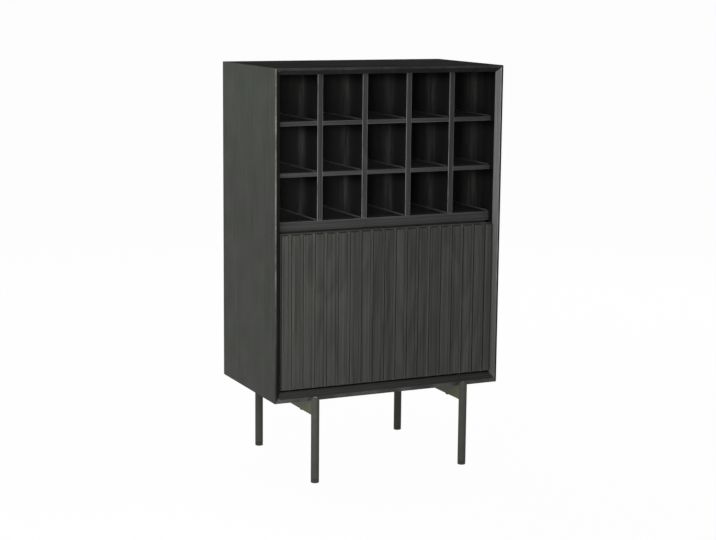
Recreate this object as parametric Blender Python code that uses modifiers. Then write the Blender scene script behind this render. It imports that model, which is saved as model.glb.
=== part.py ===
"""Bar cabinet: a bottle rack over a ribbed drop flap, on two steel leg frames.

Lengths are metres. +Z is up, the front faces -Y and left means -X, as seen
from the front. The origin is on the floor, midway between the four feet.
"""

import math

import bmesh
import bpy
from mathutils import Matrix, Vector

# Overall sizes
CASE_WIDTH = 0.600
CASE_DEPTH = 0.340
CASE_HEIGHT = 0.790
LEG_HEIGHT = 0.200

# Case boards
BOARD = 0.016
BOTTOM_BOARD = 0.0245
BOTTOM_LIP = 0.009
BACK_PANEL = 0.004
REBATE_WIDTH = 0.008
FRONT_BEVEL = 0.010
INNER_CORNER_RADIUS = 0.0005
MITRE_SHIFT = 0.00045

# Bottle rack
ROWS = 3
COLUMNS = 5
ROW_CLEAR_HEIGHT = 0.110
BOTTOM_ROW_CLEAR_HEIGHT = 0.105
RACK_SHELF = 0.010
DIVIDER = 0.0135
MID_SHELF = 0.022
RACK_RECESS = 0.027

# Drop flap
OPEN_ANGLE = math.radians(90)
FLAP_PANEL = 0.016
FLAP_RECESS = 0.005
FLAP_SIDE_GAP = 0.0025
FLAP_TOP_GAP = 0.0045
SWING_CLEARANCE = 0.0023
PIVOT_HEIGHT = 0.030
SLAT_WIDTH = 0.022
SLAT_GAP = 0.0085
SLAT_DEPTH = 0.005
SLAT_END_INSET = 0.002
SLAT_BEVEL = 0.0006
SLAT_MIN_WIDTH = 0.004

# Pivots of the flap
PIVOT_RADIUS = 0.004
PIVOT_IN_FLAP = 0.014
PIVOT_IN_SIDE = 0.009
BUSH_WALL = 0.002
BUSH_END = 0.001
BUSH_FLANGE_RADIUS = 0.008
BUSH_FLANGE = 0.0012

# Slotted quadrant stays and the pins they slide on
QUADRANT_RADIUS = 0.120
QUADRANT_PLATE = 0.0025
QUADRANT_RIM = 0.004
QUADRANT_END_RIM = 0.003
QUADRANT_OFFSET = 0.003
FOOT_PLATE = 0.002
FOOT_WIDTH = 0.017
FOOT_HEIGHT = 0.044
STAY_PIN_RADIUS = 0.0025
STAY_COLLAR_RADIUS = 0.0045
STAY_HEAD_RADIUS = 0.0045
STAY_HEAD = 0.002
STAY_PIN_IN_SIDE = 0.010

# Push latch
LATCH_WIDTH = 0.018
LATCH_HEIGHT = 0.022
LATCH_DEPTH = 0.068
LATCH_TRAVEL = 0.003
PLUNGER_RADIUS = 0.0035
PLUNGER_LENGTH = 0.050
PLUNGER_TIP_RADIUS = 0.0055
PLUNGER_TIP = 0.0025
STRIKE_RADIUS = 0.0065
STRIKE_PLATE = 0.0012

# Leg frames
LEG_INSET = 0.100
LEG_RADIUS = 0.010
LEG_WALL = 0.0015
LEG_ABOVE_UNDERSIDE = 0.010
LEG_TOP_ROUND = 0.0035
RAIL_HEIGHT = 0.035
RAIL_WIDTH = 0.012
RAIL_WRAP = 0.005
FOOT_CAP = 0.009
FOOT_CAP_ROUND = 0.001
FOOT_PLUG = 0.015
RAIL_SCREW_RADIUS = 0.003
RAIL_SCREW_HEAD_RADIUS = 0.005
RAIL_SCREW_HEAD = 0.004
RAIL_SCREW_IN_BOARD = 0.012
RAIL_SCREW_FROM_END = 0.070

# Clearances and mesh values
SEAT_GAP = 0.0003
OVERRUN = 0.001
MERGE_DISTANCE = 0.00001
ROUND_STEPS = 32
SMALL_ROUND_STEPS = 24
CORNER_STEPS = 12
SLOT_END_STEPS = 8
ARC_STEPS = 24
SMOOTH_ANGLE = math.radians(40)

# Places worked out from the sizes
FRONT = -CASE_DEPTH / 2
REAR = CASE_DEPTH / 2
CASE_BOTTOM = LEG_HEIGHT
CASE_TOP = CASE_BOTTOM + CASE_HEIGHT
INNER_HALF_WIDTH = CASE_WIDTH / 2 - BOARD
FLOOR = CASE_BOTTOM + BOTTOM_BOARD
CEILING = CASE_TOP - BOARD
BOTTOM_BEVEL_SHARE = (BOTTOM_BOARD - BOTTOM_LIP) / FRONT_BEVEL
BACK_FACE = REAR - BACK_PANEL
RACK_FRONT = FRONT + RACK_RECESS
RACK_REAR = BACK_FACE - SEAT_GAP
RACK_LAP = (RACK_FRONT + RACK_REAR) / 2
MID_SHELF_TOP = CEILING - (ROWS - 1) * (ROW_CLEAR_HEIGHT + RACK_SHELF) - BOTTOM_ROW_CLEAR_HEIGHT
COMPARTMENT_TOP = MID_SHELF_TOP - MID_SHELF
COLUMN_CLEAR_WIDTH = (2 * INNER_HALF_WIDTH - (COLUMNS - 1) * DIVIDER) / COLUMNS

SLAT_FACE = FRONT + FLAP_RECESS
FLAP_FACE = SLAT_FACE + SLAT_DEPTH + SEAT_GAP
FLAP_BACK = FLAP_FACE + FLAP_PANEL
PIVOT_Y = (FLAP_FACE + FLAP_BACK) / 2
SLAT_SWING_RADIUS = math.hypot(PIVOT_Y - SLAT_FACE, PIVOT_HEIGHT - SLAT_END_INSET)
SWING_RADIUS = max(SLAT_SWING_RADIUS, math.hypot(FLAP_PANEL / 2, PIVOT_HEIGHT))
PIVOT_Z = FLOOR + SWING_RADIUS + SWING_CLEARANCE
FLAP_BOTTOM = PIVOT_Z - PIVOT_HEIGHT
FLAP_TOP = COMPARTMENT_TOP - FLAP_TOP_GAP
FLAP_HALF_WIDTH = INNER_HALF_WIDTH - FLAP_SIDE_GAP

SLOT_HALF_WIDTH = STAY_PIN_RADIUS + SEAT_GAP
STAY_PIN_REACH = max(STAY_HEAD_RADIUS, SLOT_HALF_WIDTH + SEAT_GAP)
STAY_PIN_OFFSET = FLAP_BACK + FOOT_PLATE + 2 * SEAT_GAP + STAY_PIN_REACH - PIVOT_Y
STAY_PIN_ANGLE = math.acos(STAY_PIN_OFFSET / QUADRANT_RADIUS)
STAY_PIN_Y = PIVOT_Y + STAY_PIN_OFFSET
STAY_PIN_Z = PIVOT_Z + QUADRANT_RADIUS * math.sin(STAY_PIN_ANGLE)
QUADRANT_OUTER_X = INNER_HALF_WIDTH - QUADRANT_OFFSET
QUADRANT_INNER_X = QUADRANT_OUTER_X - QUADRANT_PLATE

LATCH_Z = COMPARTMENT_TOP - SEAT_GAP - LATCH_HEIGHT / 2
STRIKE_FACE = FLAP_BACK + SEAT_GAP + STRIKE_PLATE
PLUNGER_FRONT = STRIKE_FACE + SEAT_GAP
LATCH_FRONT = PLUNGER_FRONT + PLUNGER_TIP + LATCH_TRAVEL + SEAT_GAP

LEG_X = CASE_WIDTH / 2 - LEG_INSET
LEG_Y = CASE_DEPTH / 2 + LEG_RADIUS + SEAT_GAP
LEG_TOP = CASE_BOTTOM + LEG_ABOVE_UNDERSIDE
RAIL_TOP = CASE_BOTTOM - SEAT_GAP
RAIL_BOTTOM = RAIL_TOP - RAIL_HEIGHT
RAIL_SCREW_Y = CASE_DEPTH / 2 - RAIL_SCREW_FROM_END

SIDES = {"left": -1, "right": 1}
ENDS = {"front": -1, "rear": 1}
ALONG_X = Matrix.Rotation(math.radians(90), 4, "Y")
ALONG_Y = Matrix.Rotation(math.radians(-90), 4, "X")
UPRIGHT = Matrix.Identity(4)


def clear_scene():
    """Remove whatever the scene holds."""
    for item in list(bpy.data.objects):
        bpy.data.objects.remove(item, do_unlink=True)


def new_collection(name):
    """Add a collection to the scene."""
    collection = bpy.data.collections.new(name)
    bpy.context.scene.collection.children.link(collection)
    return collection


def new_material(name, colour, roughness, metallic):
    """A plain Principled material."""
    material = bpy.data.materials.new(name)
    material.use_nodes = True
    shader = material.node_tree.nodes["Principled BSDF"]
    shader.inputs["Base Color"].default_value = (*colour, 1)
    shader.inputs["Roughness"].default_value = roughness
    shader.inputs["Metallic"].default_value = metallic
    material.diffuse_color = (*colour, 1)
    return material


def stained_wood(name):
    """Black-stained wood under a satin lacquer."""
    return new_material(name, (0.032, 0.032, 0.029), 0.45, 0)


def black_steel(name):
    """Black-coated steel."""
    return new_material(name, (0.035, 0.036, 0.033), 0.35, 0.7)


def plain_steel(name):
    """Bright zinc-plated steel."""
    return new_material(name, (0.55, 0.55, 0.53), 0.35, 1)


def black_plastic(name):
    """Matt black plastic."""
    return new_material(name, (0.02, 0.02, 0.02), 0.6, 0)


def box_mesh(size):
    """A box centred on its own origin."""
    mesh = bpy.data.meshes.new("box")
    shape = bmesh.new()
    bmesh.ops.create_cube(shape, size=1, matrix=Matrix.Diagonal((*size, 1)))
    shape.to_mesh(mesh)
    shape.free()
    return mesh


def rod_mesh(radius, length, direction, steps):
    """A round rod centred on its own origin, along the given direction."""
    mesh = bpy.data.meshes.new("rod")
    shape = bmesh.new()
    bmesh.ops.create_cone(
        shape,
        cap_ends=True,
        segments=steps,
        radius1=radius,
        radius2=radius,
        depth=length,
        matrix=direction,
    )
    shape.to_mesh(mesh)
    shape.free()
    mesh.shade_smooth()
    mesh.set_sharp_from_angle(angle=SMOOTH_ANGLE)
    return mesh


def profile_mesh(profile):
    """A line of (radius, height) points in the XZ plane, for a Screw modifier."""
    mesh = bpy.data.meshes.new("profile")
    shape = bmesh.new()
    points = [shape.verts.new((radius, 0, height)) for radius, height in profile]
    for first, second in zip(points, points[1:]):
        shape.edges.new((first, second))
    shape.to_mesh(mesh)
    shape.free()
    return mesh


class Workshop:
    """Adds named parts and cutters to their collections."""

    def __init__(self):
        self.parts = new_collection("bar_cabinet")
        self.cutters = new_collection("bar_cabinet_cutters")

    def axis(self, name, place, parent=None):
        """An empty that marks where a moving group turns or slides."""
        empty = bpy.data.objects.new(name, None)
        self.parts.objects.link(empty)
        self.attach(empty, place, parent)
        return empty

    def attach(self, item, place, parent):
        """Put an object at a world place, under its parent."""
        item.location = Vector(place)
        if parent is not None:
            item.parent = parent
            item.location = Vector(place) - parent_place(parent)

    def part(self, name, mesh, place, finish, parent):
        """Add one physical piece."""
        item = bpy.data.objects.new(name, mesh)
        item.data.name = name
        item.data.materials.append(finish(name + "_finish"))
        self.parts.objects.link(item)
        self.attach(item, place, parent)
        return item

    def turned_part(self, name, profile, direction, place, finish, parent, steps=ROUND_STEPS):
        """Add a piece turned from a profile that runs down its outer side."""
        item = self.part(name, profile_mesh(profile), place, finish, parent)
        item.rotation_euler = direction.to_euler()
        turn = item.modifiers.new("turned", "SCREW")
        turn.steps = steps
        turn.render_steps = steps
        turn.use_merge_vertices = True
        turn.merge_threshold = MERGE_DISTANCE
        turn.use_smooth_shade = True
        return item

    def cutter(self, name, mesh, place):
        """Add a shape that only cuts others."""
        item = bpy.data.objects.new(name, mesh)
        item.location = Vector(place)
        item.hide_render = True
        item.display_type = "WIRE"
        self.cutters.objects.link(item)
        return item


def parent_place(parent):
    """World place of an unrotated parent."""
    place = Vector(parent.location)
    while parent.parent is not None:
        parent = parent.parent
        place += parent.location
    return place


def cut(item, *cutters):
    """Take the cutters out of a piece."""
    for tool in cutters:
        step = item.modifiers.new("cut_" + tool.name, "BOOLEAN")
        step.operation = "DIFFERENCE"
        step.solver = "EXACT"
        step.object = tool


def soften(item, width):
    """Take the sharpness off a piece's edges."""
    bevel = item.modifiers.new("edges", "BEVEL")
    bevel.width = width
    bevel.segments = 1
    bevel.limit_method = "ANGLE"


def rounded_ring(half_width, low, high, radius, y):
    """Points of an upright rounded rectangle, seen from the front."""
    corners = (
        (half_width - radius, high - radius, 0),
        (radius - half_width, high - radius, 90),
        (radius - half_width, low + radius, 180),
        (half_width - radius, low + radius, 270),
    )
    ring = []
    for x, z, start in corners:
        for step in range(CORNER_STEPS + 1):
            angle = math.radians(start + 90 * step / CORNER_STEPS)
            ring.append((x + radius * math.cos(angle), y, z + radius * math.sin(angle)))
    return ring


def front_bevel_cutter(workshop):
    """The funnel that bevels the front of the case all round its opening.

    Its corners are cones, so the flat lip of the case has rounded inner corners.
    The bottom board is thicker, so its bevel is steeper.
    """
    shape = bmesh.new()
    rings = []
    for depth in (-OVERRUN, FRONT_BEVEL + OVERRUN):
        spread = FRONT_BEVEL - depth
        points = rounded_ring(
            INNER_HALF_WIDTH + spread,
            FLOOR - spread * BOTTOM_BEVEL_SHARE,
            CEILING + spread,
            INNER_CORNER_RADIUS + OVERRUN + spread,
            FRONT + depth,
        )
        rings.append([shape.verts.new(point) for point in points])
    near, far = rings
    shape.faces.new(near)
    shape.faces.new(reversed(far))
    for index in range(len(near)):
        following = (index + 1) % len(near)
        shape.faces.new((near[index], far[index], far[following], near[following]))
    bmesh.ops.recalc_face_normals(shape, faces=shape.faces)
    mesh = bpy.data.meshes.new("front_bevel")
    shape.to_mesh(mesh)
    shape.free()
    return workshop.cutter("front_bevel_cutter", mesh, (0, 0, 0))


def back_rebate_cutter(workshop):
    """The rebate round the rear of the case that takes the back panel."""
    depth = BACK_PANEL + SEAT_GAP
    size = (2 * (INNER_HALF_WIDTH + REBATE_WIDTH), depth + OVERRUN, CEILING - FLOOR + 2 * REBATE_WIDTH)
    place = (0, REAR - depth + size[1] / 2, (CEILING + FLOOR) / 2)
    return workshop.cutter("back_rebate_cutter", box_mesh(size), place)


def mitred_side(workshop, name, side, root):
    """A side board, mitred into the top and bottom boards."""
    mesh = box_mesh((BOARD, CASE_DEPTH, CASE_HEIGHT))
    for vertex in mesh.vertices:
        if vertex.co.x * side < 0:
            vertex.co.z += -BOARD if vertex.co.z > 0 else BOTTOM_BOARD
    place = (side * (CASE_WIDTH - BOARD) / 2, 0, (CASE_BOTTOM + CASE_TOP) / 2)
    return workshop.part(name, mesh, place, stained_wood, root)


def mitred_level(workshop, name, thickness, low, inner_sign, root):
    """The top or bottom board, whose inner face is shorter by both side boards."""
    mesh = box_mesh((CASE_WIDTH, CASE_DEPTH, thickness))
    for vertex in mesh.vertices:
        shift = MITRE_SHIFT + (BOARD if vertex.co.z * inner_sign > 0 else 0)
        vertex.co.x -= math.copysign(shift, vertex.co.x)
    return workshop.part(name, mesh, (0, 0, low + thickness / 2), stained_wood, root)


def build_case(workshop, root):
    """Four mitred boards, the back panel and the shelf between rack and flap."""
    bevel = front_bevel_cutter(workshop)
    rebate = back_rebate_cutter(workshop)
    boards = {
        "side_left": mitred_side(workshop, "side_left", SIDES["left"], root),
        "side_right": mitred_side(workshop, "side_right", SIDES["right"], root),
        "top_panel": mitred_level(workshop, "top_panel", BOARD, CEILING, -1, root),
        "bottom_panel": mitred_level(workshop, "bottom_panel", BOTTOM_BOARD, CASE_BOTTOM, 1, root),
    }
    for board in boards.values():
        cut(board, bevel, rebate)

    reach = REBATE_WIDTH - SEAT_GAP
    back_size = (2 * (INNER_HALF_WIDTH + reach), BACK_PANEL, CEILING - FLOOR + 2 * reach)
    back_place = (0, BACK_FACE + BACK_PANEL / 2, (CEILING + FLOOR) / 2)
    workshop.part("back_panel", box_mesh(back_size), back_place, stained_wood, root)

    shelf_size = (2 * (INNER_HALF_WIDTH - SEAT_GAP), RACK_REAR - RACK_FRONT, MID_SHELF)
    shelf_place = (0, RACK_LAP, MID_SHELF_TOP - MID_SHELF / 2)
    workshop.part("mid_shelf", box_mesh(shelf_size), shelf_place, stained_wood, root)
    return boards


def divider_centre(index):
    """X of the middle of a divider, counted from the left."""
    return -INNER_HALF_WIDTH + (index + 1) * COLUMN_CLEAR_WIDTH + (index + 0.5) * DIVIDER


def rack_shelf_centre(index):
    """Z of the middle of a rack shelf, counted from the bottom."""
    bottom = MID_SHELF_TOP + BOTTOM_ROW_CLEAR_HEIGHT + index * (ROW_CLEAR_HEIGHT + RACK_SHELF)
    return bottom + RACK_SHELF / 2


def build_rack(workshop, root):
    """Upright dividers and shelves, half-lapped where they cross."""
    depth = RACK_REAR - RACK_FRONT
    height = CEILING - MID_SHELF_TOP - 2 * SEAT_GAP
    lap_overlap = SEAT_GAP / 2
    half = depth / 2 + lap_overlap + OVERRUN

    shelf_laps = []
    for index in range(ROWS - 1):
        size = (2 * INNER_HALF_WIDTH, half, RACK_SHELF + 2 * SEAT_GAP)
        place = (0, RACK_LAP - lap_overlap + half / 2, rack_shelf_centre(index))
        shelf_laps.append(workshop.cutter(f"divider_slot_cutter_{index + 1}", box_mesh(size), place))

    divider_laps = []
    for index in range(COLUMNS - 1):
        size = (DIVIDER + 2 * SEAT_GAP, half, height)
        place = (divider_centre(index), RACK_LAP + lap_overlap - half / 2, (CEILING + MID_SHELF_TOP) / 2)
        divider_laps.append(workshop.cutter(f"shelf_slot_cutter_{index + 1}", box_mesh(size), place))

    for index in range(COLUMNS - 1):
        place = (divider_centre(index), RACK_LAP, (CEILING + MID_SHELF_TOP) / 2)
        mesh = box_mesh((DIVIDER, depth, height))
        cut(workshop.part(f"rack_divider_{index + 1}", mesh, place, stained_wood, root), *shelf_laps)

    for index in range(ROWS - 1):
        place = (0, RACK_LAP, rack_shelf_centre(index))
        mesh = box_mesh((2 * (INNER_HALF_WIDTH - SEAT_GAP), depth, RACK_SHELF))
        cut(workshop.part(f"rack_shelf_{index + 1}", mesh, place, stained_wood, root), *divider_laps)


def slat_spans():
    """Left and right edge of each slat, as x.

    One slat stands in the middle, and the end ones are cut at the flap's edges.
    """
    pitch = SLAT_WIDTH + SLAT_GAP
    half = SLAT_WIDTH / 2
    edge = FLAP_HALF_WIDTH
    beside = math.floor((edge + half - SLAT_MIN_WIDTH) / pitch)
    centres = [index * pitch for index in range(-beside, beside + 1)]
    return [(max(centre - half, -edge), min(centre + half, edge)) for centre in centres]


def build_flap(workshop, hinge):
    """The flap's panel, bored for its pivots, with the slats on its face."""
    size = (2 * FLAP_HALF_WIDTH, FLAP_PANEL, FLAP_TOP - FLAP_BOTTOM)
    place = (0, PIVOT_Y, (FLAP_TOP + FLAP_BOTTOM) / 2)
    panel = workshop.part("flap_panel", box_mesh(size), place, stained_wood, hinge)

    hole_depth = PIVOT_IN_FLAP + SEAT_GAP
    for word, side in SIDES.items():
        mesh = rod_mesh(PIVOT_RADIUS + SEAT_GAP, hole_depth + OVERRUN, ALONG_X, SMALL_ROUND_STEPS)
        x = side * (FLAP_HALF_WIDTH - hole_depth + (hole_depth + OVERRUN) / 2)
        cut(panel, workshop.cutter(f"flap_pivot_hole_cutter_{word}", mesh, (x, PIVOT_Y, PIVOT_Z)))

    low = FLAP_BOTTOM + SLAT_END_INSET
    high = FLAP_TOP - SLAT_END_INSET
    for number, (left, right) in enumerate(slat_spans(), start=1):
        mesh = box_mesh((right - left, SLAT_DEPTH, high - low))
        place = ((left + right) / 2, SLAT_FACE + SLAT_DEPTH / 2, (low + high) / 2)
        soften(workshop.part(f"flap_slat_{number:02d}", mesh, place, stained_wood, hinge), SLAT_BEVEL)


def build_pivots(workshop, boards, root, hinge):
    """A steel pin at each end of the flap, turning in a bush in the side board."""
    bush_radius = PIVOT_RADIUS + SEAT_GAP + BUSH_WALL
    bush_length = PIVOT_IN_SIDE + SEAT_GAP + BUSH_END
    for word, side in SIDES.items():
        length = PIVOT_IN_FLAP + FLAP_SIDE_GAP + PIVOT_IN_SIDE
        inner_end = FLAP_HALF_WIDTH - PIVOT_IN_FLAP
        mesh = rod_mesh(PIVOT_RADIUS, length, ALONG_X, SMALL_ROUND_STEPS)
        place = (side * (inner_end + length / 2), PIVOT_Y, PIVOT_Z)
        workshop.part(f"flap_pivot_pin_{word}", mesh, place, plain_steel, hinge)

        profile = (
            (0, bush_length),
            (bush_radius, bush_length),
            (bush_radius, -SEAT_GAP),
            (BUSH_FLANGE_RADIUS, -SEAT_GAP),
            (BUSH_FLANGE_RADIUS, -SEAT_GAP - BUSH_FLANGE),
            (PIVOT_RADIUS + SEAT_GAP, -SEAT_GAP - BUSH_FLANGE),
            (PIVOT_RADIUS + SEAT_GAP, bush_length - BUSH_END),
            (0, bush_length - BUSH_END),
        )
        direction = Matrix.Rotation(math.radians(90 * side), 4, "Y")
        place = (side * INNER_HALF_WIDTH, PIVOT_Y, PIVOT_Z)
        name = f"flap_pivot_bush_{word}"
        workshop.turned_part(name, profile, direction, place, black_plastic, root, SMALL_ROUND_STEPS)

        depth = bush_length + SEAT_GAP
        mesh = rod_mesh(bush_radius + SEAT_GAP, depth + OVERRUN, ALONG_X, SMALL_ROUND_STEPS)
        place = (side * (INNER_HALF_WIDTH + (depth - OVERRUN) / 2), PIVOT_Y, PIVOT_Z)
        cut(boards[f"side_{word}"], workshop.cutter(f"bush_hole_cutter_{word}", mesh, place))


def polar(radius, angle):
    """A point round the flap's pivot, as (y, z) from that pivot."""
    return (radius * math.cos(angle), radius * math.sin(angle))


def arc_points(radius, start, end):
    """Points of an arc round the flap's pivot."""
    return [polar(radius, start + (end - start) * step / ARC_STEPS) for step in range(ARC_STEPS + 1)]


def round_end(centre, radius, start):
    """Points inside a half circle, between its two ends."""
    points = []
    for step in range(1, SLOT_END_STEPS):
        y, z = polar(radius, start - math.pi * step / SLOT_END_STEPS)
        points.append((centre[0] + y, centre[1] + z))
    return points


def quadrant_outlines():
    """Outer edge and slot of a quadrant stay, as (y, z) from the flap's pivot."""
    closed_angle = STAY_PIN_ANGLE + SEAT_GAP / QUADRANT_RADIUS
    open_angle = STAY_PIN_ANGLE - OPEN_ANGLE - SEAT_GAP / QUADRANT_RADIUS
    half = SLOT_HALF_WIDTH + QUADRANT_RIM
    foot_angle = math.acos((FLAP_BACK + SEAT_GAP + FOOT_PLATE / 2 - PIVOT_Y) / QUADRANT_RADIUS)
    end_round = SLOT_HALF_WIDTH + QUADRANT_END_RIM
    end_angle = open_angle - (end_round - half / 2) / QUADRANT_RADIUS
    outer = arc_points(QUADRANT_RADIUS + half, foot_angle, end_angle)
    inner = arc_points(QUADRANT_RADIUS - half, end_angle, foot_angle)

    slot = arc_points(QUADRANT_RADIUS + SLOT_HALF_WIDTH, closed_angle, open_angle)
    slot += round_end(polar(QUADRANT_RADIUS, open_angle), SLOT_HALF_WIDTH, open_angle)
    slot += arc_points(QUADRANT_RADIUS - SLOT_HALF_WIDTH, open_angle, closed_angle)
    slot += round_end(polar(QUADRANT_RADIUS, closed_angle), SLOT_HALF_WIDTH, closed_angle + math.pi)
    return outer + inner, slot


def flat_outline_mesh(outlines, thickness):
    """A flat plate from closed outlines, the first its edge and the rest holes."""
    curve = bpy.data.curves.new("outline", "CURVE")
    curve.dimensions = "2D"
    curve.fill_mode = "BOTH"
    curve.extrude = thickness / 2
    for outline in outlines:
        spline = curve.splines.new("POLY")
        spline.points.add(len(outline) - 1)
        for point, (first, second) in zip(spline.points, outline):
            point.co = (first, second, 0, 1)
        spline.use_cyclic_u = True
    sketch = bpy.data.objects.new("outline", curve)
    bpy.context.scene.collection.objects.link(sketch)
    graph = bpy.context.evaluated_depsgraph_get()
    mesh = bpy.data.meshes.new_from_object(sketch.evaluated_get(graph))
    bpy.data.objects.remove(sketch, do_unlink=True)
    shape = bmesh.new()
    shape.from_mesh(mesh)
    bmesh.ops.remove_doubles(shape, verts=shape.verts, dist=MERGE_DISTANCE)
    bmesh.ops.recalc_face_normals(shape, faces=shape.faces)
    shape.to_mesh(mesh)
    shape.free()
    return mesh


def build_stays(workshop, boards, root, hinge):
    """Slotted quadrants on the flap, each sliding on a pin in the side board."""
    upright = Matrix(((0, 0, 1, 0), (1, 0, 0, 0), (0, 1, 0, 0), (0, 0, 0, 1)))
    for word, side in SIDES.items():
        mesh = flat_outline_mesh(quadrant_outlines(), QUADRANT_PLATE)
        mesh.transform(upright)
        x = side * (QUADRANT_INNER_X + QUADRANT_PLATE / 2)
        plate = workshop.part(f"flap_quadrant_{word}", mesh, (x, PIVOT_Y, PIVOT_Z), black_steel, hinge)

        foot_size = (FOOT_WIDTH, FOOT_PLATE, FOOT_HEIGHT)
        foot_place = (
            side * (QUADRANT_OUTER_X - FOOT_WIDTH / 2),
            FLAP_BACK + SEAT_GAP + FOOT_PLATE / 2,
            PIVOT_Z + QUADRANT_RADIUS,
        )
        join = plate.modifiers.new("foot", "BOOLEAN")
        join.operation = "UNION"
        join.solver = "EXACT"
        join.object = workshop.cutter(f"quadrant_foot_shape_{word}", box_mesh(foot_size), foot_place)

        collar_end = INNER_HALF_WIDTH - QUADRANT_OUTER_X - SEAT_GAP
        head_start = collar_end + QUADRANT_PLATE + 2 * SEAT_GAP
        profile = (
            (0, STAY_PIN_IN_SIDE),
            (STAY_PIN_RADIUS, STAY_PIN_IN_SIDE),
            (STAY_PIN_RADIUS, -SEAT_GAP),
            (STAY_COLLAR_RADIUS, -SEAT_GAP),
            (STAY_COLLAR_RADIUS, -collar_end),
            (STAY_PIN_RADIUS, -collar_end),
            (STAY_PIN_RADIUS, -head_start),
            (STAY_HEAD_RADIUS, -head_start),
            (STAY_HEAD_RADIUS, -head_start - STAY_HEAD),
            (0, -head_start - STAY_HEAD),
        )
        direction = Matrix.Rotation(math.radians(90 * side), 4, "Y")
        place = (side * INNER_HALF_WIDTH, STAY_PIN_Y, STAY_PIN_Z)
        name = f"quadrant_pin_{word}"
        workshop.turned_part(name, profile, direction, place, plain_steel, root, SMALL_ROUND_STEPS)

        depth = STAY_PIN_IN_SIDE + SEAT_GAP
        mesh = rod_mesh(STAY_PIN_RADIUS + SEAT_GAP, depth + OVERRUN, ALONG_X, SMALL_ROUND_STEPS)
        place = (side * (INNER_HALF_WIDTH + (depth - OVERRUN) / 2), STAY_PIN_Y, STAY_PIN_Z)
        cut(boards[f"side_{word}"], workshop.cutter(f"stay_pin_hole_cutter_{word}", mesh, place))


def build_latch(workshop, root, hinge):
    """A push latch under the shelf, its plunger and the strike plate on the flap."""
    place = (0, LATCH_FRONT + LATCH_DEPTH / 2, LATCH_Z)
    mesh = box_mesh((LATCH_WIDTH, LATCH_DEPTH, LATCH_HEIGHT))
    body = workshop.part("latch_body", mesh, place, black_plastic, root)
    plunger_end = PLUNGER_FRONT + PLUNGER_TIP + PLUNGER_LENGTH
    bore_end = plunger_end + LATCH_TRAVEL + SEAT_GAP
    bore_start = LATCH_FRONT - OVERRUN
    bore = rod_mesh(PLUNGER_RADIUS + SEAT_GAP, bore_end - bore_start, ALONG_Y, SMALL_ROUND_STEPS)
    cut(body, workshop.cutter("latch_bore_cutter", bore, (0, (bore_start + bore_end) / 2, LATCH_Z)))

    profile = (
        (0, PLUNGER_TIP + PLUNGER_LENGTH),
        (PLUNGER_RADIUS, PLUNGER_TIP + PLUNGER_LENGTH),
        (PLUNGER_RADIUS, PLUNGER_TIP),
        (PLUNGER_TIP_RADIUS, PLUNGER_TIP),
        (PLUNGER_TIP_RADIUS, 0),
        (0, 0),
    )
    place = (0, PLUNGER_FRONT, LATCH_Z)
    slide = workshop.axis("latch_slide", place, root)
    workshop.turned_part("latch_plunger", profile, ALONG_Y, place, black_plastic, slide, SMALL_ROUND_STEPS)

    mesh = rod_mesh(STRIKE_RADIUS, STRIKE_PLATE, ALONG_Y, SMALL_ROUND_STEPS)
    place = (0, STRIKE_FACE - STRIKE_PLATE / 2, LATCH_Z)
    workshop.part("latch_strike", mesh, place, plain_steel, hinge)


def leg_profile():
    """A tube with a rounded closed top, open at its foot."""
    rounding = []
    for step in range(CORNER_STEPS + 1):
        angle = math.radians(90 - 90 * step / CORNER_STEPS)
        radius = LEG_RADIUS - LEG_TOP_ROUND + LEG_TOP_ROUND * math.cos(angle)
        rounding.append((radius, LEG_TOP - LEG_TOP_ROUND + LEG_TOP_ROUND * math.sin(angle)))
    foot = FOOT_CAP + SEAT_GAP
    bore = LEG_RADIUS - LEG_WALL
    bore_top = LEG_TOP - LEG_TOP_ROUND - LEG_WALL
    return ((0, LEG_TOP), *rounding, (LEG_RADIUS, foot), (bore, foot), (bore, bore_top), (0, bore_top))


def foot_cap_profile():
    """A plastic cap under the tube, with a plug up its bore."""
    plug_radius = LEG_RADIUS - LEG_WALL - SEAT_GAP
    return (
        (0, FOOT_CAP + FOOT_PLUG),
        (plug_radius, FOOT_CAP + FOOT_PLUG),
        (plug_radius, FOOT_CAP),
        (LEG_RADIUS, FOOT_CAP),
        (LEG_RADIUS, FOOT_CAP_ROUND),
        (LEG_RADIUS - FOOT_CAP_ROUND, 0),
        (0, 0),
    )


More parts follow.
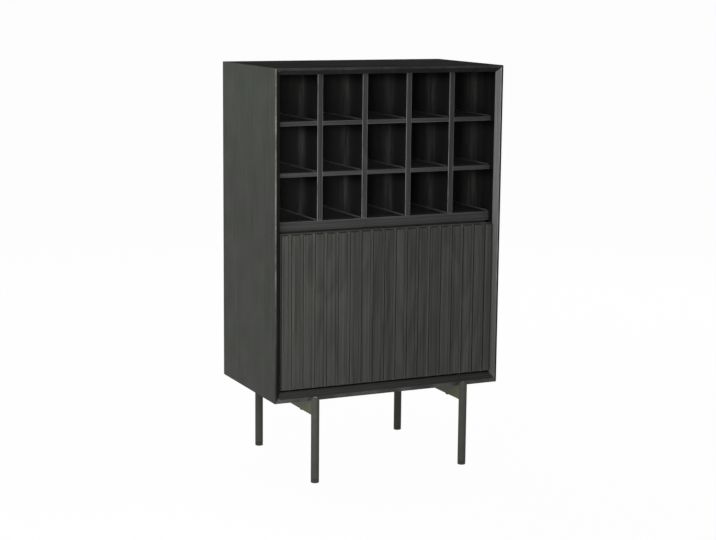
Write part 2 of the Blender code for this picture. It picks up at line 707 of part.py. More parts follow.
def build_leg_frames(workshop, boards, root):
    """Two legs and a rail on each side, screwed up into the bottom board."""
    screw_end = CASE_BOTTOM + RAIL_SCREW_IN_BOARD
    screw_seat = RAIL_BOTTOM - SEAT_GAP
    hole_top = screw_end + SEAT_GAP
    hole_bottom = RAIL_BOTTOM - OVERRUN
    for word, side in SIDES.items():
        x = side * LEG_X
        rail_length = 2 * (LEG_Y - LEG_RADIUS + RAIL_WRAP)
        rail_mesh = box_mesh((RAIL_WIDTH, rail_length, RAIL_HEIGHT))
        rail_place = (x, 0, RAIL_BOTTOM + RAIL_HEIGHT / 2)
        rail = workshop.part(f"leg_rail_{word}", rail_mesh, rail_place, black_steel, root)
        for end_word, end in ENDS.items():
            corner = f"{end_word}_{word}"
            leg_place = (x, end * LEG_Y, 0)
            workshop.turned_part(f"leg_{corner}", leg_profile(), UPRIGHT, leg_place, black_steel, root)
            cap_profile = foot_cap_profile()
            workshop.turned_part(f"foot_cap_{corner}", cap_profile, UPRIGHT, leg_place, black_plastic, root)
            cope = rod_mesh(LEG_RADIUS + SEAT_GAP, RAIL_HEIGHT + 2 * OVERRUN, UPRIGHT, ROUND_STEPS)
            cope_place = (x, end * LEG_Y, RAIL_BOTTOM + RAIL_HEIGHT / 2)
            cut(rail, workshop.cutter(f"rail_cope_cutter_{corner}", cope, cope_place))

            profile = (
                (0, screw_end),
                (RAIL_SCREW_RADIUS, screw_end),
                (RAIL_SCREW_RADIUS, screw_seat),
                (RAIL_SCREW_HEAD_RADIUS, screw_seat),
                (RAIL_SCREW_HEAD_RADIUS, screw_seat - RAIL_SCREW_HEAD),
                (0, screw_seat - RAIL_SCREW_HEAD),
            )
            name = f"rail_screw_{corner}"
            screw_place = (x, end * RAIL_SCREW_Y, 0)
            workshop.turned_part(name, profile, UPRIGHT, screw_place, black_steel, root, SMALL_ROUND_STEPS)
            hole_length = hole_top - hole_bottom
            hole = rod_mesh(RAIL_SCREW_RADIUS + SEAT_GAP, hole_length, UPRIGHT, SMALL_ROUND_STEPS)
            hole_place = (x, end * RAIL_SCREW_Y, (hole_top + hole_bottom) / 2)
            tool = workshop.cutter(f"rail_screw_hole_cutter_{corner}", hole, hole_place)
            cut(rail, tool)
            cut(boards["bottom_panel"], tool)


def main():
    """Build the cabinet."""
    clear_scene()
    workshop = Workshop()
    root = workshop.axis("cabinet_origin", (0, 0, 0))
    hinge = workshop.axis("flap_axis", (0, PIVOT_Y, PIVOT_Z), root)
    boards = build_case(workshop, root)
    build_rack(workshop, root)
    build_flap(workshop, hinge)
    build_pivots(workshop, boards, root, hinge)
    build_stays(workshop, boards, root, hinge)
    build_latch(workshop, root, hinge)
    build_leg_frames(workshop, boards, root)


main()
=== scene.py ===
"""Looks of a bar cabinet: a bottle rack over a slatted drop flap, on round steel legs.

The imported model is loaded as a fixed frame. A finer piece with softened edges then stands
for every solid, small fasteners are added, and each surface gets a finish made of shader
nodes: black-stained wood, coated steel, zinc-plated steel and plastic. Lengths are metres,
+Z is up and the front faces -Y.
"""

import logging
import math
from dataclasses import dataclass, field
from enum import Enum
from functools import cache
from typing import Callable, Iterable, Sequence

import bmesh
import bpy
from bmesh.types import BMEdge, BMesh, BMFace, BMLayerItem
from bpy.types import ID, Material, Node, NodeSocket, Object, ShaderNodeTree
from mathutils import Matrix, Vector, noise


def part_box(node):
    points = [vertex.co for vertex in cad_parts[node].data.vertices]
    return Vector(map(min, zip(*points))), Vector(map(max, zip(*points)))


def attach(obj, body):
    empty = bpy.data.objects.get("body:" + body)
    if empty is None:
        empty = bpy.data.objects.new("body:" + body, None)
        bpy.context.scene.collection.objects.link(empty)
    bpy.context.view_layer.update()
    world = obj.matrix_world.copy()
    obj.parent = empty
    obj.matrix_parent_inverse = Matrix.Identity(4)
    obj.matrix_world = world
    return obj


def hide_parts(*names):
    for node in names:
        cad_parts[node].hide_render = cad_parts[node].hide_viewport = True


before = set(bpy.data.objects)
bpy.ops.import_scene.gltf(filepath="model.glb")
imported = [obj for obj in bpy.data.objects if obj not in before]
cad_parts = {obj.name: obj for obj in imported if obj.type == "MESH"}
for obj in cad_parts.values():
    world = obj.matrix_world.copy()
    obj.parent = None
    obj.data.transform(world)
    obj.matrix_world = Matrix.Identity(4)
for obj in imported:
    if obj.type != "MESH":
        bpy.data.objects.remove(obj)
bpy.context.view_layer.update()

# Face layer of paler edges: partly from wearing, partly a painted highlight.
EDGE_LAYER = "edge"
# Face layer of painted shade: marked faces blend towards a dark shade colour.
PAINTED_SHADE_LAYER = "painted_shade"
MERGE_DISTANCE = 0.00001
FLAT_ANGLE = math.radians(0.5)
SHARP_ANGLE = math.radians(30)
FACING_SHARE = 0.9
SLANTED_SHARE = 0.5
ROUND_STEPS = 64
SMALL_ROUND_STEPS = 32
WHITE = (1.0, 1.0, 1.0)
SIDES = ("left", "right")

Colour = tuple[float, float, float]
Profile = Sequence[tuple[float, float]]
Value = NodeSocket | float | Sequence[float]
Test = Callable[[BMFace], bool]

log = logging.getLogger("bar_cabinet")


class Slot(Enum):
    """Material slots of the record."""

    CASE_WOOD = "case_wood"
    RACK_WOOD = "rack_wood"
    FLAP_WOOD = "flap_wood"
    BLACK_STEEL = "black_steel"
    BRIGHT_STEEL = "bright_steel"
    BLACK_PLASTIC = "black_plastic"


class Body(Enum):
    """Bodies of the frame that pieces ride on."""

    CABINET = "cabinet"
    FLAP = "flap"
    PLUNGER = "plunger"


class Grain(Enum):
    """How a board lies: the turn, in degrees, that brings its fibres upright and its width to Y."""

    UPRIGHT = (0, 0, 0)
    UPRIGHT_FRONT = (0, 0, 90)
    LEVEL = (0, 90, 0)


class Facing(Enum):
    """Directions that a turned piece can point in, as the turn of its own +Z."""

    UP = Matrix.Identity(4)
    DOWN = Matrix.Rotation(math.pi, 4, "X")
    LEFT = Matrix.Rotation(-math.pi / 2, 4, "Y")
    RIGHT = Matrix.Rotation(math.pi / 2, 4, "Y")
    REAR = Matrix.Rotation(-math.pi / 2, 4, "X")


class Drive(Enum):
    """Recess in a screw's head."""

    HEX = "hex"
    CROSS = "cross"


class Cloud(Enum):
    """Noises: cells in a metre along each axis, octaves, and the weight of the finer octaves."""

    RING_WANDER = ((4.0, 4.0, 1.6), 2.0, 0.5)
    STREAKS = ((210.0, 210.0, 1.1), 3.0, 0.6)
    FIBRES = ((620.0, 620.0, 7.0), 3.0, 0.6)
    BLOTCHES = ((16.0, 16.0, 4.0), 2.0, 0.5)
    DASHES = ((2300.0, 2300.0, 90.0), 1.0, 0.5)
    # Patches and breaks in the paler edges, which are partly from wearing and partly a painted highlight.
    WORN_AND_HIGHLIT_PATCHES = ((22.0, 22.0, 22.0), 3.0, 0.6)
    EDGE_BREAKS = ((400.0, 400.0, 400.0), 2.0, 0.6)
    PEBBLES = ((1.0, 1.0, 1.0), 2.0, 0.55)
    WAVES = ((60.0, 60.0, 60.0), 2.0, 0.5)
    # Blotches in the band of painted light.
    PAINTED_LIGHT_BLOTCHES = ((14.0, 75.0, 9.0), 3.0, 0.55)
    GLOSS_PATCHES = ((14.0, 14.0, 14.0), 2.0, 0.5)
    DRAWN_MARKS = ((300.0, 4000.0, 4000.0), 3.0, 0.6)
    DULL_PATCHES = ((180.0, 180.0, 180.0), 3.0, 0.6)


class Sheet:
    """Adds shader nodes to one node tree and joins them."""

    def __init__(self, tree: ShaderNodeTree) -> None:
        """Start on a node tree."""
        self.tree = tree

    def add(self, kind: str, inputs: dict[str | int, Value] | None = None, **settings: object) -> Node:
        """Add a node.

        Args:
            kind: the node's type.
            inputs: values or sockets for its inputs, by name or number.
            settings: values for the node's own properties.

        Returns:
            The new node.
        """
        node = self.tree.nodes.new(kind)
        for name, value in settings.items():
            setattr(node, name, value)
        for name, value in (inputs or {}).items():
            self.feed(node.inputs[name], value)
        return node

    def feed(self, target: NodeSocket, value: Value) -> None:
        """Join a socket to an input, or set the input's own value.

        Args:
            target: the input.
            value: a socket to join, or the value to set.
        """
        if isinstance(value, NodeSocket):
            self.tree.links.new(value, target)
        else:
            target.default_value = value

    def math(self, operation: str, *values: Value, clamp: bool = False) -> NodeSocket:
        """Work on numbers with a Math node and return its result."""
        node = self.add("ShaderNodeMath", dict(enumerate(values)), operation=operation, use_clamp=clamp)
        return node.outputs[0]

    def vector_math(self, operation: str, *values: Value) -> NodeSocket:
        """Work on vectors with a Vector Math node and return its result."""
        return self.add("ShaderNodeVectorMath", dict(enumerate(values)), operation=operation).outputs[0]

    def scale(self, vector: NodeSocket, factor: Value) -> NodeSocket:
        """Return a vector or a colour times a number."""
        return self.add("ShaderNodeVectorMath", {0: vector, "Scale": factor}, operation="SCALE").outputs[0]

    def weigh(self, start: Value, *parts: tuple[NodeSocket, float]) -> NodeSocket:
        """Add sources, each times its weight, to a starting value.

        Args:
            start: the starting value.
            parts: pairs of a source and its weight.

        Returns:
            The sum.
        """
        for source, weight in parts:
            start = self.math("MULTIPLY_ADD", source, weight, start)
        return start

    def split(self, vector: NodeSocket) -> Sequence[NodeSocket]:
        """Return the X, Y and Z of a vector."""
        return self.add("ShaderNodeSeparateXYZ", {0: vector}).outputs[:]

    def join(self, x: Value, y: Value, z: Value) -> NodeSocket:
        """Return a vector made from three numbers."""
        return self.add("ShaderNodeCombineXYZ", {0: x, 1: y, 2: z}).outputs[0]

    def attribute(self, name: str) -> NodeSocket:
        """Return the number that a mesh holds under a name."""
        return self.add("ShaderNodeAttribute", attribute_name=name).outputs["Fac"]

    def cloud(self, point: NodeSocket, kind: Cloud) -> NodeSocket:
        """Add a noise.

        Args:
            point: where it is read, in metres.
            kind: the noise.

        Returns:
            Its value, around a half.
        """
        cells, detail, roughness = kind.value
        scaled = self.vector_math("MULTIPLY", point, cells)
        inputs = {"Vector": scaled, "Scale": 1.0, "Detail": detail, "Roughness": roughness}
        return self.add("ShaderNodeTexNoise", inputs).outputs[0]

    def remap(self, value: Value, low: float, high: float, new_low: float, new_high: float) -> NodeSocket:
        """Carry a range of values over to another, smoothly, and hold it past both ends."""
        inputs = {"Value": value, "From Min": low, "From Max": high, "To Min": new_low, "To Max": new_high}
        return self.add("ShaderNodeMapRange", inputs, interpolation_type="SMOOTHSTEP").outputs["Result"]

    def blend(self, factor: Value, first: Value, second: Value) -> NodeSocket:
        """Mix two colours.

        Args:
            factor: the second colour's share.
            first: a socket, or a colour.
            second: a socket, or a colour.

        Returns:
            The mixed colour.
        """
        node = self.add("ShaderNodeMix", {0: factor}, data_type="RGBA")
        for target, value in zip(node.inputs[6:8], (first, second)):
            self.feed(target, value if isinstance(value, NodeSocket) else (*value, 1.0))
        return node.outputs[2]

    def group(self, tree: ShaderNodeTree, **inputs: Value) -> Node:
        """Place a node group.

        Args:
            tree: the group.
            inputs: its inputs by name, with _ for a space.

        Returns:
            The group's node.
        """
        named = {label.replace("_", " "): value for label, value in inputs.items()}
        return self.add("ShaderNodeGroup", named, node_tree=tree)


def new_group(name: str, inputs: dict[str, str], outputs: Iterable[str]) -> tuple[Sheet, Node, Node]:
    """Start a shader node group.

    Args:
        name: the group's name.
        inputs: the kind of each input socket, Vector or Float, by name.
        outputs: the names of its number outputs.

    Returns:
        A sheet on the group, its input node and its output node.
    """
    tree = bpy.data.node_groups.new(name, "ShaderNodeTree")
    for label, kind in inputs.items():
        tree.interface.new_socket(name=label, in_out="INPUT", socket_type=f"NodeSocket{kind}")
    for label in outputs:
        tree.interface.new_socket(name=label, in_out="OUTPUT", socket_type="NodeSocketFloat")
    sheet = Sheet(tree)
    return sheet, sheet.add("NodeGroupInput"), sheet.add("NodeGroupOutput")


@cache
def wood_figure() -> ShaderNodeTree:
    """Make a solid figure of wood: fibres along Z, width along Y, thickness along X.

    Each stave of a glued-up board is cut from its own place in the log, so its rings have
    their own centre and its fibres their own streaks.

    Returns:
        A group with the outputs Tone, Pores and Height, each from 0 to 1.
    """
    inputs = {"Point": "Vector", "Stave Width": "Float", "First Joint": "Float", "Ring Spacing": "Float"}
    sheet, enter, leave = new_group("wood_figure", inputs, ("Tone", "Pores", "Height"))
    point, stave_width, first_joint, ring_spacing = enter.outputs[:4]
    ring_wander, stave_shift, joint_width = 0.05, 7.0, 0.0004
    centre_depth, centre_depth_spread, centre_width = 0.02, 0.07, 0.09
    through, across, along = sheet.split(point)

    count = sheet.math("DIVIDE", sheet.math("SUBTRACT", across, first_joint), stave_width)
    index, share = sheet.math("FLOOR", count), sheet.math("FRACT", count)
    draw = sheet.add("ShaderNodeTexWhiteNoise", {"W": index}, noise_dimensions="1D")
    first, second, third = sheet.split(draw.outputs["Color"])

    wander = sheet.cloud(point, Cloud.RING_WANDER).node.outputs["Color"]
    reach, centred = (ring_wander, ring_wander, 0.0), (-ring_wander / 2, -ring_wander / 2, 0.0)
    wander = sheet.vector_math("MULTIPLY_ADD", wander, reach, centred)
    wander_through, wander_across, _ = sheet.split(wander)
    in_stave = sheet.math("MULTIPLY", sheet.math("SUBTRACT", share, 0.5), stave_width)
    centre_through = sheet.math("MULTIPLY_ADD", first, centre_depth_spread, centre_depth)
    centre_across = sheet.math("MULTIPLY_ADD", second, centre_width, -centre_width / 2)
    ring_through = sheet.math("ADD", sheet.math("ADD", through, centre_through), wander_through)
    ring_across = sheet.math("ADD", sheet.math("ADD", in_stave, centre_across), wander_across)
    radius = sheet.vector_math("LENGTH", sheet.join(ring_through, ring_across, 0.0)).node.outputs["Value"]
    phase = sheet.math("FRACT", sheet.math("DIVIDE", radius, ring_spacing))
    rise, fall = sheet.remap(phase, 0.1, 0.8, 0, 1), sheet.remap(phase, 0.82, 1, 1, 0)
    late_wood = sheet.math("MULTIPLY", rise, fall)

    shift = sheet.join(0.0, 0.0, sheet.math("MULTIPLY", third, stave_shift))
    shifted = sheet.vector_math("ADD", point, shift)
    kinds = (Cloud.STREAKS, Cloud.FIBRES, Cloud.BLOTCHES, Cloud.DASHES)
    streak, fibre, blotch, dashes = (sheet.cloud(shifted, kind) for kind in kinds)
    open_wood = sheet.remap(late_wood, 0, 1, 1, 0.35)
    pores = sheet.math("MULTIPLY", sheet.remap(dashes, 0.6, 0.68, 0, 1), open_wood)
    near_joint = sheet.math("MULTIPLY", sheet.math("PINGPONG", count, 0.5), stave_width)
    joint = sheet.remap(near_joint, 0.0, joint_width, 1, 0)

    parts = ((late_wood, -0.22), (streak, 1.3), (fibre, 0.8), (blotch, 0.3), (second, 0.3), (joint, -0.25))
    tone = sheet.math("ADD", sheet.weigh(-0.76, *parts), 0.0, clamp=True)
    height = sheet.weigh(0.35, (fibre, 0.45), (late_wood, 0.15), (pores, -0.45), (joint, -0.25))
    for target, value in zip(leave.inputs, (tone, pores, height)):
        sheet.feed(target, value)
    return sheet.tree


@cache
def edge_wear_and_highlight() -> ShaderNodeTree:
    """Make a mask for paler edges, partly from wearing and partly a painted highlight, more in some places
    than others.

    Returns:
        A group with the output Mask, from 0 to 1.
    """
    inputs = {"Point": "Vector", "Edge": "Float", "Amount": "Float"}
    sheet, enter, leave = new_group("edge_wear_and_highlight", inputs, ("Mask",))
    point, edge, amount = enter.outputs[:3]
    worn_and_highlit = sheet.remap(sheet.cloud(point, Cloud.WORN_AND_HIGHLIT_PATCHES), 0.3, 0.7, 0.35, 1)
    broken = sheet.remap(sheet.cloud(point, Cloud.EDGE_BREAKS), 0.3, 0.6, 0.5, 1)
    mask = sheet.math("MULTIPLY", sheet.math("MULTIPLY", worn_and_highlit, broken), edge)
    sheet.feed(leave.inputs["Mask"], sheet.math("MULTIPLY", mask, amount, clamp=True))
    return sheet.tree


@cache
def fine_texture() -> ShaderNodeTree:
    """Make the texture of a sprayed or moulded surface: fine pebbles over slow waves.

    Returns:
        A group with the outputs Height and Patches, each from 0 to 1.
    """
    inputs = {"Point": "Vector", "Cells": "Float"}
    sheet, enter, leave = new_group("fine_texture", inputs, ("Height", "Patches"))
    point, cells = enter.outputs[:2]
    pebbles, waves = sheet.cloud(sheet.scale(point, cells), Cloud.PEBBLES), sheet.cloud(point, Cloud.WAVES)
    sheet.feed(leave.inputs["Height"], sheet.weigh(0.0, (pebbles, 0.7), (waves, 0.3)))
    sheet.feed(leave.inputs["Patches"], waves)
    return sheet.tree


class Look(Sheet):
    """A sheet on a new material with a Principled shader."""

    def __init__(self, name: str, **constants: float) -> None:
        """Start a material.

        Args:
            name: the material's name.
            constants: the shader inputs that are the same all over, with _ for a space.
        """
        self.material = bpy.data.materials.new(name)
        self.material.use_nodes = True
        super().__init__(self.material.node_tree)
        self.shader = self.tree.nodes["Principled BSDF"]
        self.point = self.add("ShaderNodeTexCoord").outputs["Object"]
        for label, value in constants.items():
            self.shader.inputs[label.replace("_", " ")].default_value = value

    def wear_and_highlight_edges(self, colour: NodeSocket, worn_and_highlit: Colour, amount: Value) -> None:
        """Give the shader its colour, with paler edges that are partly from wearing and partly a painted
        highlight.

        Args:
            colour: the colour.
            worn_and_highlit: the colour of the paler edges.
            amount: how much of the edges is paler.
        """
        edge = self.attribute(EDGE_LAYER)
        # The paler edges are partly from wearing and partly a painted highlight.
        pale_edge_mask = self.group(edge_wear_and_highlight(), Point=self.point, Edge=edge, Amount=amount).outputs["Mask"]
        self.feed(self.shader.inputs["Base Color"], self.blend(pale_edge_mask, colour, worn_and_highlit))

    def surface(self, roughness: NodeSocket, height: NodeSocket, distance: float) -> Material:
        """Give the shader its roughness and its relief.

        Args:
            roughness: the roughness.
            height: the relief, from 0 to 1.
            distance: how deep the relief is.

        Returns:
            The finished material.
        """
        bump = self.add("ShaderNodeBump", {"Strength": 1.0, "Distance": distance, "Height": height})
        self.feed(self.shader.inputs["Roughness"], roughness)
        self.feed(self.shader.inputs["Normal"], bump.outputs[0])
        return self.material


@dataclass(frozen=True)
class StainedWood:
    """Black-stained solid wood under a thin satin lacquer; its colour can also carry painted shade, painted
    light deeper inside, and paler edges that are partly a painted highlight.
    """

    name: str
    slot: Slot
    grain: Grain
    dark: Colour = (0.0085, 0.0085, 0.0083)
    pale: Colour = (0.030, 0.030, 0.0285)
    # Colour of the paler edges: partly from wearing, partly a painted highlight.
    worn_and_highlit: Colour = (0.075, 0.074, 0.068)
    # Colour that faces with painted shade blend towards.
    shade: Colour = (0.0060, 0.0060, 0.0058)
    stave_width: float = 0.068
    first_joint: float = 0.0
    ring_spacing: float = 0.0052
    pore_tone: float = 0.6
    pore_roughness: float = 0.2
    roughness: float = 0.50
    roughness_spread: float = 0.16
    specular: float = 0.30
    bump: float = 0.00016
    wear_and_highlight: float = 0.55
    # Painted light: paler with depth into the case, above the height deep_above, and in a blotchy upright
    # band.
    deep_gain: float = 1.0
    deep_start: float = -0.12
    deep_end: float = 0.08
    deep_above: float = 0.0
    band_gain: float = 0.0
    band_middle: float = -0.045
    band_reach: float = 0.038
    # Painted shade close under each of these heights.
    ceilings: tuple[float, ...] = ()
    ceiling_reach: float = 0.034
    ceiling_loss: float = 0.95
    high_tint: Colour = WHITE
    high_start: float = 0.66
    high_end: float = 0.98
    # Share of the paler edges low down, growing to the full share higher up.
    low_wear_and_highlight: float = 1.0
    low_wear_and_highlight_end: float = 0.25
    full_wear_and_highlight_start: float = 0.66

    def painted_light_with_depth(self, look: Look) -> NodeSocket:
        """Paint light: make the colour paler with depth, most of all in a blotchy upright band of painted
        light.

        Args:
            look: the material's sheet.

        Returns:
            A factor for the colour.
        """
        _, depth, height = look.split(look.point)
        middle, reach = self.band_middle, self.band_reach
        gain = look.remap(depth, self.deep_start, self.deep_end, 0, self.deep_gain - 1)
        rise = look.remap(depth, middle - reach, middle, 0, self.band_gain)
        band = look.math("MULTIPLY", rise, look.remap(depth, middle, middle + reach, 1, 0))
        blotch = look.remap(look.cloud(look.point, Cloud.PAINTED_LIGHT_BLOTCHES), 0.36, 0.66, 0.05, 1.3)
        above = look.math("GREATER_THAN", height, self.deep_above)
        return look.math("MULTIPLY_ADD", look.math("MULTIPLY_ADD", band, blotch, gain), above, 1.0)

    def painted_shade_under_ceilings(self, look: Look, height: NodeSocket, painted_shade: NodeSocket) -> NodeSocket:
        """Paint shade: darken the colour close under each shelf.

        Args:
            look: the material's sheet.
            height: the height of the point.
            painted_shade: how much painted shade the face carries.

        Returns:
            A factor for the colour.
        """
        lost: Value = 0.0
        for ceiling in self.ceilings:
            near = look.remap(height, ceiling - self.ceiling_reach, ceiling, 0, self.ceiling_loss)
            lost = look.math("MULTIPLY_ADD", near, look.math("LESS_THAN", height, ceiling), lost)
        return look.math("SUBTRACT", 1.0, look.math("MULTIPLY", lost, painted_shade))

    def make(self) -> Material:
        """Make the material.

        Returns:
            The finished material.
        """
        look = Look(self.name, Specular_IOR_Level=self.specular)
        turn = [math.radians(angle) for angle in self.grain.value]
        figure = look.group(
            wood_figure(),
            Point=look.add("ShaderNodeMapping", {"Vector": look.point, "Rotation": turn}).outputs[0],
            Stave_Width=self.stave_width,
            First_Joint=self.first_joint,
            Ring_Spacing=self.ring_spacing,
        )
        pores, painted_shade = figure.outputs["Pores"], look.attribute(PAINTED_SHADE_LAYER)
        _, _, height = look.split(look.point)
        colour = look.blend(figure.outputs["Tone"], self.dark, self.pale)
        colour = look.blend(look.math("MULTIPLY", pores, self.pore_tone), colour, self.dark)
        # Painted shade on marked faces.
        colour = look.blend(painted_shade, colour, self.shade)
        # Painted light deeper inside.
        if self.deep_gain > 1:
            colour = look.scale(colour, self.painted_light_with_depth(look))
        # Painted shade under each shelf.
        if self.ceilings:
            colour = look.scale(colour, self.painted_shade_under_ceilings(look, height, painted_shade))
        if self.high_tint != WHITE:
            high = look.remap(height, self.high_start, self.high_end, 0, 1)
            colour = look.blend(high, colour, look.vector_math("MULTIPLY", colour, self.high_tint))
        wear_and_highlight: Value = self.wear_and_highlight
        if self.low_wear_and_highlight < 1:
            low = self.wear_and_highlight * self.low_wear_and_highlight
            wear_and_highlight = look.remap(height, self.low_wear_and_highlight_end, self.full_wear_and_highlight_start, low, self.wear_and_highlight)
        look.wear_and_highlight_edges(colour, self.worn_and_highlit, wear_and_highlight)
        patches = look.cloud(look.point, Cloud.GLOSS_PATCHES)
        parts = ((patches, self.roughness_spread), (pores, self.pore_roughness))
        roughness = look.weigh(self.roughness - self.roughness_spread / 2, *parts)
        return look.surface(roughness, figure.outputs["Height"], self.bump)


@dataclass(frozen=True)
class CoatedSurface:
    """A sprayed coat or a moulded plastic: even colour, fine texture, and paler marked edges, which are slight
    wear on most pieces and a painted highlight on the tops of the legs.
    """

    name: str
    slot: Slot
    base: Colour
    patched: Colour
    worn_and_highlit: Colour
    roughness: float
    specular: float
    cells: float = 1500.0
    wear_and_highlight: float = 0.3
    bump: float = 0.00003
    roughness_spread: float = 0.12

    def make(self) -> Material:
        """Make the material.

        Returns:
            The finished material.
        """
        look = Look(self.name, Specular_IOR_Level=self.specular)
        texture = look.group(fine_texture(), Point=look.point, Cells=self.cells).outputs
        look.wear_and_highlight_edges(look.blend(texture["Patches"], self.base, self.patched), self.worn_and_highlit, self.wear_and_highlight)
        part = (texture["Patches"], self.roughness_spread)
        roughness = look.weigh(self.roughness - self.roughness_spread / 2, part)
        return look.surface(roughness, texture["Height"], self.bump)


@dataclass(frozen=True)
class PlatedSteel:
    """Zinc-plated steel with fine drawing marks and dull patches."""

    name: str = "zinc_plated_steel"
    slot: Slot = Slot.BRIGHT_STEEL
    bright: Colour = (0.62, 0.62, 0.60)
    dull: Colour = (0.36, 0.36, 0.34)
    roughness: float = 0.34
    roughness_spread: float = 0.2
    bump: float = 0.00002

    def make(self) -> Material:
        """Make the material.

        Returns:
            The finished material.
        """
        look = Look(self.name, Metallic=1.0)
        marks = look.cloud(look.point, Cloud.DRAWN_MARKS)
        patches = look.cloud(look.point, Cloud.DULL_PATCHES)
        look.feed(look.shader.inputs["Base Color"], look.blend(patches, self.bright, self.dull))
        roughness = look.weigh(self.roughness - self.roughness_spread / 2, (marks, self.roughness_spread))
        return look.surface(roughness, marks, self.bump)


Finish = StainedWood | CoatedSurface | PlatedSteel


@cache
def material_of(finish: Finish) -> Material:
    """Return the material of a finish, made on its first use."""
    return finish.make()


LIP_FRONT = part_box("side_left")[0].y
CASE_REAR_JOINT = -0.17
RACK_STAVES = {"stave_width": 0.077, "first_joint": -0.143}
# Heights under which the cells' faces get painted shade.
CELL_CEILINGS = (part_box("rack_divider_1")[1].z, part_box("rack_shelf_1")[0].z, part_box("rack_shelf_2")[0].z)

# Its paler edges and the pale strip of the left lip are partly from wearing and partly a painted highlight.
SIDE_WOOD = StainedWood(
    "side_board_wood",
    Slot.CASE_WOOD,
    Grain.UPRIGHT,
    dark=(0.0068, 0.0078, 0.0054),
    pale=(0.0275, 0.0315, 0.0222),
    worn_and_highlit=(0.230, 0.230, 0.218),
    first_joint=CASE_REAR_JOINT,
    specular=0.16,
    wear_and_highlight=1.1,
    high_tint=(1.35, 1.50, 1.45),
    low_wear_and_highlight=0.12,
)
# A much paler copy of the case's wood, paler still towards the top: painted light on the right board's bevel
# and on the pale strip of its lip.
PAINTED_LIGHT_BEVEL_WOOD = StainedWood(
    "painted_light_bevel_wood",
    Slot.CASE_WOOD,
    Grain.UPRIGHT,
    dark=(0.0390, 0.0412, 0.0395),
    pale=(0.1110, 0.1165, 0.1120),
    worn_and_highlit=(0.420, 0.422, 0.412),
    first_joint=CASE_REAR_JOINT,
    wear_and_highlight=1.1,
    high_tint=(1.75, 1.75, 1.75),
    high_start=0.50,
    high_end=0.72,
    low_wear_and_highlight=0.25,
)
BOTTOM_WOOD = StainedWood(
    "bottom_board_wood",
    Slot.CASE_WOOD,
    Grain.LEVEL,
    dark=(0.0110, 0.0112, 0.0106),
    pale=(0.0400, 0.0405, 0.0380),
    worn_and_highlit=(0.150, 0.150, 0.146),
    first_joint=CASE_REAR_JOINT,
    specular=0.12,
    wear_and_highlight=0.8,
)
TOP_WOOD = StainedWood(
    "top_board_wood",
    Slot.CASE_WOOD,
    Grain.LEVEL,
    dark=(0.0130, 0.0131, 0.0127),
    pale=(0.0450, 0.0452, 0.0440),
    worn_and_highlit=(0.140, 0.140, 0.138),
    first_joint=CASE_REAR_JOINT,
    roughness=0.75,
    specular=0.0,
)
# A matt copy of the case's wood, on the inner faces and on the left board's bevel and the inner strip of its
# lip; inside, it carries painted light deeper in and painted shade under each shelf.
INNER_WOOD = StainedWood(
    "inner_board_wood",
    Slot.CASE_WOOD,
    Grain.UPRIGHT,
    dark=(0.0105, 0.0106, 0.0103),
    pale=(0.0357, 0.0360, 0.0352),
    worn_and_highlit=(0.045, 0.045, 0.043),
    first_joint=CASE_REAR_JOINT,
    roughness=0.70,
    specular=0.0,
    deep_gain=20.0,
    deep_above=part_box("mid_shelf")[0].z,
    band_gain=6.0,
    ceilings=CELL_CEILINGS,
)
BACK_WOOD = StainedWood(
    "back_panel_wood",
    Slot.CASE_WOOD,
    Grain.UPRIGHT_FRONT,
    dark=(0.0130, 0.0132, 0.0127),
    pale=(0.0430, 0.0436, 0.0418),
    stave_width=0.30,
    ring_spacing=0.009,
    wear_and_highlight=0.2,
)
# The rack's woods carry painted light that grows deeper into the cells; the dividers also a band of painted
# light and painted shade under each shelf.
DIVIDER_WOOD = StainedWood(
    "divider_wood",
    Slot.RACK_WOOD,
    Grain.UPRIGHT,
    dark=(0.0265, 0.0267, 0.0265),
    pale=(0.0950, 0.0955, 0.0945),
    worn_and_highlit=(0.260, 0.260, 0.256),
    specular=0.15,
    wear_and_highlight=1.6,
    deep_gain=14.0,
    band_gain=6.5,
    ceilings=CELL_CEILINGS,
    **RACK_STAVES,
)
SHELF_WOOD = StainedWood(
    "shelf_wood",
    Slot.RACK_WOOD,
    Grain.LEVEL,
    dark=(0.0350, 0.0352, 0.0346),
    pale=(0.1250, 0.1255, 0.1235),
    worn_and_highlit=(0.180, 0.180, 0.177),
    specular=0.12,
    deep_gain=6.0,
    **RACK_STAVES,
)
# Pale wood for the corner beads, paler still deeper in: the pale line along each joint is a painted highlight.
BEAD_HIGHLIGHT_WOOD = StainedWood(
    "corner_bead_highlight_wood",
    Slot.RACK_WOOD,
    Grain.LEVEL,
    dark=(0.0450, 0.0453, 0.0444),
    pale=(0.1300, 0.1307, 0.1287),
    worn_and_highlit=(0.120, 0.120, 0.118),
    specular=0.12,
    deep_gain=5.0,
)
STRIP_WOOD = StainedWood(
    "stop_strip_wood",
    Slot.RACK_WOOD,
    Grain.LEVEL,
    dark=(0.0100, 0.0101, 0.0099),
    pale=(0.0280, 0.0282, 0.0277),
    specular=0.10,
)
# Paler than the slats, as painted light on the floors of the grooves between them.
PANEL_WOOD = StainedWood(
    "flap_panel_wood",
    Slot.FLAP_WOOD,
    Grain.UPRIGHT_FRONT,
    dark=(0.0470, 0.0488, 0.0435),
    pale=(0.1450, 0.1497, 0.1357),
    stave_width=0.094,
    specular=0.15,
)
